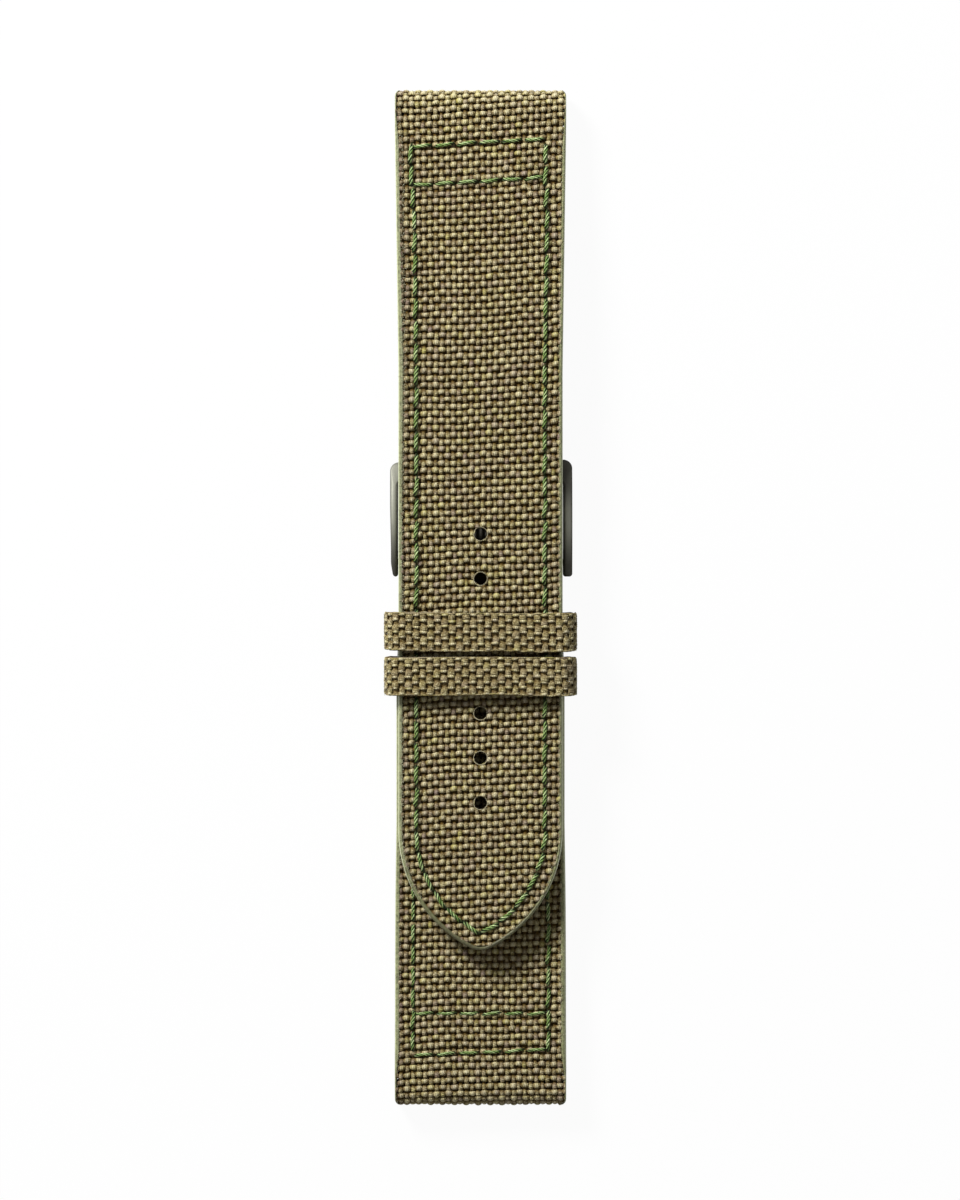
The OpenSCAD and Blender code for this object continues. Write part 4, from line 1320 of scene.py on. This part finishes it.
# %% The keepers' path
KEEPER_OUT, KEEPER_CORNER, KEEPER_W, KEEPER_TOP = 25.9, 2.2, 5.32, 8.69
KEEPERS = {"fixed": (-1.95, 0.12), "free": (-7.89, 0.0)}
FOLD_R, SEAM_HALF = 0.50, 0.08


def askew(name, x, z):
    """How far a worn keeper's top has shifted along the strap. Its underside stays put."""
    if name == "fixed":
        return ease(z / 6) * (-0.011 * x + 0.03 * np.sin(x * 0.6))
    return ease(z / 6) * (0.16 * (1 - (x / 13) ** 2) - 0.08 - 0.004 * x)


def keeper_y(name, x, z, v):
    """Place along the strap of a point v across the band, which narrows a little at its ends."""
    pinch = 1 - 0.035 * ease((np.abs(x) - 12.1) / 1.0)
    return KEEPERS[name][0] - KEEPER_W / 2 + v * pinch + askew(name, x, z)


def band_line(low, inset=0.0, step=STEP):
    """The band's outside in the x-z plane, clockwise from the middle of its underside."""
    r = KEEPER_CORNER - inset
    flat, top, bottom = KEEPER_OUT / 2 - inset - r, KEEPER_TOP - inset, low + inset
    parts = [stacked(np.arange(-SEAM_HALF, -flat, -step), bottom)]
    for cx, cz, start in ((-flat, bottom + r, 270), (-flat, top - r, 180), (flat, top - r, 90),
                          (flat, bottom + r, 0)):
        a = np.radians(start) - np.radians(np.linspace(0, 90, 14))
        parts.append(stacked(cx + r * np.cos(a), cz + r * np.sin(a)))
    parts.append(stacked(np.arange(flat, SEAM_HALF, -step), bottom))
    return np.concatenate(parts)


class Band(Cloth):
    """The same bent sheet, but its line lies across the strap and its width along it."""

    def __init__(self, name):
        self.name = name
        super().__init__(band_line(KEEPERS[name][1]))

    def turn(self, ahead, aside, up):
        return stacked(ahead, aside, up)

    def aside(self, x, spot):
        return keeper_y(self.name, spot[:, 0], spot[:, 1], x)


def fold_drop(v):
    """How far the folded edge has rounded down at a place across the band."""
    past = np.clip(np.abs(v) - (KEEPER_W / 2 - FOLD_R), 0, FOLD_R * 0.999)
    return FOLD_R - np.sqrt(FOLD_R * FOLD_R - past * past)


print("keeper band lengths in mm:", {name: round(Band(name).length, 1) for name in KEEPERS})

# %% [markdown]
# The keepers' yarns are packed closer than the strap's: flat, wide weft floats, toned darker as
# painted shade, and thin warp between them, toned brighter as a painted highlight. A thin yarn
# runs along each fold.

# %% Weave the keepers
# The weft's low tone is painted shade and the warp's high tone a painted highlight.
BAND_WEFT = dict(across=True, wide=0.42, high=0.16, swing=0.16, base=0.36, tone=-1.0, tint=-0.05,
                 power=0.6, dip=0.65, glow=(0.52, 0.16), vary=0.5)
BAND_WARP = dict(across=False, wide=0.18, high=0.14, swing=0.175, base=0.315, tone=1.05, tint=0.1,
                 power=0.8, dip=1.2, glow=(1.1, 0.05), vary=1.0)
FOLD_YARN = dict(across=False, wide=0.085, high=0.08, swing=0.012, base=0.12, tone=-0.2, tint=0.1,
                 power=1.0, dip=1.0, glow=(0.1, 0.7), vary=1.0)


def weave_band(band, seed):
    rng, weft, warp = np.random.default_rng(seed), [], []
    v = np.arange(-KEEPER_W / 2 + 0.06, KEEPER_W / 2 - 0.05, WARP_PITCH / 6)
    for j in range(1, int(band.length / WEFT_PITCH)):
        u, phase = j * WEFT_PITCH + 0 * v, v / WARP_PITCH - 0.5
        weft.append(yarn(BAND_WEFT, band, u, v, phase, (-1) ** j, rng, fold_drop(v)))
    u = np.arange(0.1, band.length - 0.1, WEFT_PITCH / 4)
    lines = [(BAND_WARP, i * WARP_PITCH * 0.97, (-1) ** i) for i in range(-3, 4)]
    lines += [(FOLD_YARN, s * (KEEPER_W / 2 - 0.19), 1) for s in (-1, 1)]
    for kind, x, sign in lines:
        x = 0 * u + x
        warp.append(yarn(kind, band, u, x, u / WEFT_PITCH, sign, rng, fold_drop(x)))
    return {"weft": weft, "warp": warp}


for name, seed in (("fixed", 51), ("free", 52)):
    for kind, strands in weave_band(Band(name), seed).items():
        mesh = tube_mesh(strands, up_light=BAND_UP_LIGHT)
        add_piece(f"{name}_keeper_{kind}", mesh, YARN, f"{name}_keeper_canvas")

# %% [markdown]
# The keepers are rubbed most where they turn down at their two ends. Loose fibres stand off the
# cloth there, each one laid flat first and then turned to the band's own directions.

# %% Fuzz at the keepers' rubbed ends
for name, seed in (("fixed", 71), ("free", 72)):
    rng, band, fuzz = np.random.default_rng(seed), Band(name), []
    us = np.arange(0.4, band.length - 0.4, 0.05)
    xs = between(us, band.u, band.line)[:, 0]
    for u in np.repeat(us[(xs < -11.9) | (xs > 11.5)], 2)[:, None]:
        v = rng.uniform(-KEEPER_W / 2 + 0.35, KEEPER_W / 2 - 0.35)
        low = -float(fold_drop(v)) - rng.uniform(0.02, 0.12)
        at = band.point(u, np.array([v]), np.array([low]))
        made = fibre(LOOSE, (0, 0, 0), rng.uniform(0, 2 * math.pi), rng.uniform(0.2, 0.45),
                     rng.uniform(0.02, 0.08), rng.uniform(0.018, 0.032), rng)
        for key in ("middle", "side", "up"):
            made[key] = made[key] @ np.stack([band.along(u)[0], band.across, band.up(u)[0]])
        made["middle"] = made["middle"] + at
        fuzz.append(made)
    add_piece(f"{name}_keeper_fuzz", tube_mesh(fuzz, STUB_RING), FUZZ, f"{name}_keeper_canvas")

# %% [markdown]
# Behind the keeper's yarns lie a ground, near-black as painted shade, and a leather lining. Both
# are bands with rounded edges, lofted round the same path.

# %% Ground and lining of the keepers
GROUND, BAND_LINING = (0.42, 0.66, 0.28), (0.68, 1.15, 0.12)


def band_mesh(name, outer, inner, edge):
    """A band with rounded edges between two insets of the keeper's path, less wide by edge."""
    ticks, lines = np.linspace(0, 1, 150), []
    for inset in (outer, inner):
        line = band_line(KEEPERS[name][1], inset, 0.5)
        lines.append(between(ticks * travelled(line)[-1], travelled(line), line))
    edges = KEEPER_W / 2 - edge
    section = [(-edges, 0.10), (-edges + 0.05, 0.03), (-edges + 0.2, 0.0)]
    section += [(-v, pull) for v, pull in section[::-1]]
    rings = []
    for out, inn in zip(*lines):
        ring = [(v, *(out + (inn - out) * pull)) for v, pull in section]
        ring += [(v, *(inn + (out - inn) * pull)) for v, pull in section[::-1]]
        rings.append([(x, float(keeper_y(name, x, z, v)), z) for v, x, z in ring])
    return loft_mesh(rings)


for name in KEEPERS:
    node = f"{name}_keeper_"
    add_piece(node + "ground", band_mesh(name, *GROUND), PADDING, node + "canvas")
    add_piece(node + "leather", band_mesh(name, *BAND_LINING), LEATHER, node + "lining")

# %% [markdown]
# ## Buckle
# The frame is a bent steel bar: two arms that arch over the spring bar and an outer bar that comes
# down to the table. It is lofted through rounded sections along the U, so that its edges are soft
# all the way, and the pin holes are drilled afterwards.

# %% Side view and outline of the frame
FRAME_IN, FRAME_FAR, OUTER_BAR_Y, CREST_Y = 11.06, 18.35, 15.4, 9.5
CREST_TOP, CREST_LOW, TOP_R, LOW_R, ARM_END_R = 4.2, 1.4, 15.32, 11.044, 2.0
RIGHT_OUT, LEFT_OUT = 12.33, 12.15
EDGE_R, BEND_R, BEND_IN_R = 0.42, 1.2, 0.2
NOTCH_HALF, NOTCH_DEPTH, PIN_HOLE_R = TONGUE_ROOM, 0.45, 0.45


def frame_out(s, y):
    """Outer edge of an arm. The left one bends in a little towards its end."""
    if s > 0:
        return RIGHT_OUT
    return LEFT_OUT - 0.12 * float(ease((13 - y) / 7)) - 0.25 * float(ease((4.9 - y) / 2.2))


def frame_far(x):
    """Outer edge of the outer bar, which lies a little askew."""
    return FRAME_FAR + 0.015 * x


def arm_end(y):
    """Half height of the arm's rounded end."""
    return np.sqrt(np.maximum(ARM_END_R ** 2 - np.minimum(y - BAR_Y, 0) ** 2, 0))


def frame_top(y):
    arc = CREST_TOP - TOP_R + np.sqrt(TOP_R ** 2 - (y - CREST_Y) ** 2)
    return np.minimum(arc, BAR_Z + arm_end(y))


def frame_low(y):
    arc = np.maximum(CREST_LOW - LOW_R + np.sqrt(LOW_R ** 2 - (y - CREST_Y) ** 2), 0)
    return np.where(y < BAR_Y, BAR_Z - arm_end(y), arc)


def arm_painted_highlight(s, y):
    """The painted highlight on a section's points, from the outer side over the top inwards. The
    left arm, which faces the light, gets more, brighter towards the outer bar, and its inner flank
    is lit near the outer bar.
    """
    if s < 0:
        level, extent = 0.16 + 0.68 * float(ease((y - 3) / 8)), float(ease((y - 11.5) / 2))
        inner = [1, 0.85 + 0.15 * extent, 0.4 + 0.6 * extent, 0.1 + 0.8 * extent, 0.7 * extent]
        return [level * v for v in [0.7, 0.9, 1, 1, 1] + inner + [0.5 * extent] * 5 + [0] * 5]
    level = 0.10 + 0.75 * math.exp(-(((y - 10.5) / 4.2) ** 2))
    return [level * v for v in [0.05, 0.15, 0.45, 0.8, 1, 1, 0.6, 0.15, 0, 0] + [0] * 10]


print("frame crest:", float(frame_low(CREST_Y)), "to", float(frame_top(CREST_Y)))

# %% [markdown]
# Each section is a rounded rectangle between an inner and an outer point of the plan. Its points
# take their heights from the side view, so the arch comes by itself, and the outer bar dips in
# the middle, where the tongue rests.

# %% Loft the frame


def soft_box(wide, high, r, n=5):
    """A rounded rectangle as shares of its width and height."""
    r = min(r, 0.48 * wide, 0.48 * high)
    points = []
    corners = ((wide - r, high - r, 0), (r, high - r, 90), (r, r, 180), (wide - r, r, 270))
    for cx, cz, start in corners:
        for a in np.radians(start + np.linspace(0, 90, n)):
            points.append(((cx + r * math.cos(a)) / wide, (cz + r * math.sin(a)) / high))
    return np.array(points)


def frame_ring(inner, outer, notch):
    inner, outer = np.array(inner), np.array(outer)
    mid = (inner[1] + outer[1]) / 2
    high = max(float(frame_top(mid) - frame_low(mid)), 0.05)
    box = soft_box(np.linalg.norm(outer - inner), high, EDGE_R)
    plan = inner + box[:, :1] * (outer - inner)
    low, high = frame_low(plan[:, 1]), frame_top(plan[:, 1]) - notch
    return np.c_[plan, low + box[:, 1] * (high - low)]


def frame_half(s):
    """Sections from an arm's end to the middle of the outer bar, each with its painted highlight.
    """
    stations = []
    for y in BAR_Y - ARM_END_R * np.sin(np.linspace(0.49 * np.pi, 0, 14)):
        off = EDGE_R - math.sqrt(EDGE_R ** 2 - max(BAR_Y - 1.58 - y, 0) ** 2)
        stations.append(((FRAME_IN + 0.8 * off, y), (frame_out(s, y) - off, y)))
    bend_y = OUTER_BAR_Y - BEND_IN_R
    for y in np.linspace(BAR_Y, bend_y, 22)[1:]:
        stations.append(((FRAME_IN, y), (frame_out(s, y), y)))
    far = frame_out(s, OUTER_BAR_Y)
    for a in np.radians(np.linspace(6, 84, 9)):
        c, d = math.cos(a), math.sin(a)
        reach = (far - BEND_R + BEND_R * c, frame_far(s * far) - BEND_R + BEND_R * d)
        stations.append(((FRAME_IN - BEND_IN_R * d, bend_y + BEND_IN_R * d), reach))
    for x in np.r_[np.linspace(far - 1.5, NOTCH_HALF, 16), 1.15, 1.05, 0.5, 0]:
        stations.append(((x, OUTER_BAR_Y), (x, frame_far(s * x))))
    found = []
    for inner, outer in stations:
        notch = NOTCH_DEPTH * float(ease((NOTCH_HALF - outer[0]) / 0.3))
        arm_highlight = arm_painted_highlight(s, (inner[1] + outer[1]) / 2)
        found.append((frame_ring(inner, outer, notch) * [s, 1, 1], arm_highlight))
    return found


rings, arm_highlights = zip(*frame_half(1), *frame_half(-1)[-2::-1])
frame_mesh = drilled(loft_mesh(rings, rim=arm_highlights), [cross_rod(BAR_Y, BAR_Z, PIN_HOLE_R)])
add_piece("buckle_frame_soft", frame_mesh, BUCKLE, "buckle_frame")

# %% [markdown]
# The tongue is one strip of steel: an eye bent round the bar and a finger that arches over the
# outer bar. Its edges are rounded, and its tip is narrowed. The finger starts inside the eye's
# wall, clear of the tube that the eye turns on.

# %% Buckle tongue
TONGUE_T, TONGUE_HALF, TONGUE_TOP, TONGUE_R, TONGUE_CREST_Y = 0.85, 0.85, 4.12, 16.80, 10.5
FINGER_START, FINGER_TIP = 5.65, 17.6
EYE_W, EYE_T, EYE_R = 1.7, 0.55, 0.80


def tongue_ring(y):
    top = TONGUE_TOP - TONGUE_R + math.sqrt(TONGUE_R ** 2 - (y - TONGUE_CREST_Y) ** 2)
    narrowed = 1 - 0.24 * max(0.0, (y - BAR_Y) / 13.5)
    wide = TONGUE_HALF * narrowed * math.sqrt(max(1 - max(0, (y - FINGER_TIP) / 0.705) ** 2, 0.02))
    over = np.radians(np.linspace(0, 180, 15))
    under = [[-0.96, 0.12], [-0.82, 0.0], [0.82, 0.0], [0.96, 0.12]]
    box = np.r_[np.c_[np.cos(over), 0.30 + 0.55 * np.sin(over)], under]
    return np.c_[box[:, 0] * wide, np.full(len(box), y), top - TONGUE_T + box[:, 1]]


tip_steps = 0.7 * np.sin(np.linspace(0, 0.48 * np.pi, 8))
finger_ys = np.r_[np.linspace(FINGER_START, FINGER_TIP - 0.1, 25), FINGER_TIP + tip_steps]
add_piece("tongue_finger", loft_mesh([tongue_ring(y) for y in finger_ys]), TONGUE_SHADED_STEEL, "buckle_tongue")
box = (soft_box(EYE_W, EYE_T, 0.2) - [0.5, 0]) * [EYE_W, EYE_T]
eye_mesh = turned(np.c_[EYE_R + box[:, 1], box[:, 0]], BAR_Y, BAR_Z)
add_piece("tongue_eye", eye_mesh, TONGUE_SHADED_STEEL, "buckle_tongue")

# %% [markdown]
# The spring bar's tube and its two tips have their right shapes in the CAD model, so they stay
# and get steel. The coil inside is wound again in two halves, because each half has to shorten as
# its own tip is pressed in by 1 mm.

# %% Spring bar
for node in ("buckle_bar_tube", "buckle_bar_tip_left", "buckle_bar_tip_right"):
    frame["nodes"][node].data.materials.clear()
    frame["nodes"][node].data.materials.append(BAR.material)
    print(node, "in bright steel")
COIL_HALF, COIL_R, WIRE_R, PRESS = 8.52, 0.40, 0.08, 1.0
HALF_STEPS, STEP_ANGLE = 48, math.radians(45)
wire = np.radians(np.arange(0, 360, 60))
for side, first in (("left", 0), ("right", HALF_STEPS)):
    rings = []
    for i in range(first, first + HALF_STEPS + 1):
        a, r = STEP_ANGLE * i, COIL_R + WIRE_R * np.cos(wire)
        x = COIL_HALF * (i / HALF_STEPS - 1) + WIRE_R * np.sin(wire)
        rings.append(np.c_[x, BAR_Y + r * math.cos(a), BAR_Z + r * math.sin(a)])
    coil = add_piece(f"bar_spring_{side}", loft_mesh(rings), BAR, "buckle_bar_spring")
    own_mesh(coil)

# %% [markdown]
# The sleeves that line the watch-end tunnels are folded tape. Only their ends show, so each is a
# short-walled tube with a rounded lip.

# %% Tunnel sleeves
LIP = [(1.0, -11.4), (1.06, -11.47), (1.17, -11.5), (1.29, -11.47), (1.35, -11.4)]
for piece, y in BORE.items():
    profile = LIP + [(r, -x) for r, x in LIP[::-1]]
    add_piece(f"{piece}_sleeve", turned(profile, y, BORE_Z, 48), TAPE, f"{piece}_lug_sleeve")

# %% [markdown]
# ## Floor, light and world
# The photograph has a plain white ground. The floor is white to the camera and keeps a faint
# shadow, while the strap itself is lit at a plain level: a soft key light from beyond the top
# left, low enough to throw each row of the weave into relief, and a pale sky to fill the shade.

# %% Floor
floor_mesh = bpy.data.meshes.new("floor")
floor_mesh.from_pydata([(-2, -2, 0), (2, -2, 0), (2, 2, 0), (-2, 2, 0)], [], [(0, 1, 2, 3)])
floor = put("floor", floor_mesh)
floor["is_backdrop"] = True
WHITE = Finish("floor_white", roughness=0.9, base_color=(0.88, 0.88, 0.88, 1))
path = WHITE.node("LightPath", None, None, "Is Camera Ray")
seen = path + path.also("Is Glossy Ray") + path.also("Is Transmission Ray")
glow = WHITE.node("Emission", None, {"Color": (1, 1, 1, 1), "Strength": 1.0})
plain = Number(WHITE, WHITE.shader.outputs[0])
share = WHITE.maths("MINIMUM", seen, 1.0) * 0.955
both = WHITE.node("MixShader", None, {0: share, 1: plain, 2: glow})
WHITE.feed(WHITE.nodes["Material Output"].inputs["Surface"], both)
floor_mesh.materials.append(WHITE.material)
print("floor ready")

# %% Light and world
SKY_LEVEL = 0.215
key = put("key", bpy.data.lights.new("key", "AREA"))
key.data.shape, key.data.size, key.data.energy = "DISK", 0.26, 10.1
key.location = (-0.42, 0.54, 0.425)
key.rotation_mode = "QUATERNION"
key.rotation_quaternion = (-key.location).to_track_quat("-Z", "Y")
SCENE.world = bpy.data.worlds.new("sky")
SKY = Finish("sky", SCENE.world, color=(1, 1, 1, 1))
ray = SKY.node("LightPath", None, None, "Is Camera Ray")
seen = SKY.maths("MAXIMUM", ray, ray.also("Is Glossy Ray"))
SKY.wear(strength=SKY.node("MapRange", None, {"Value": seen, "To Min": SKY_LEVEL, "To Max": 1.0}))
SCENE.view_settings.view_transform = "Standard"
print("sky level:", SKY_LEVEL)

# %% [markdown]
# Last come the sizes of the dressed model.

# %% Sizes of the dressed model
low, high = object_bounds()
print("visual box in mm:", [round(v / MM, 2) for v in (*low, *high)])
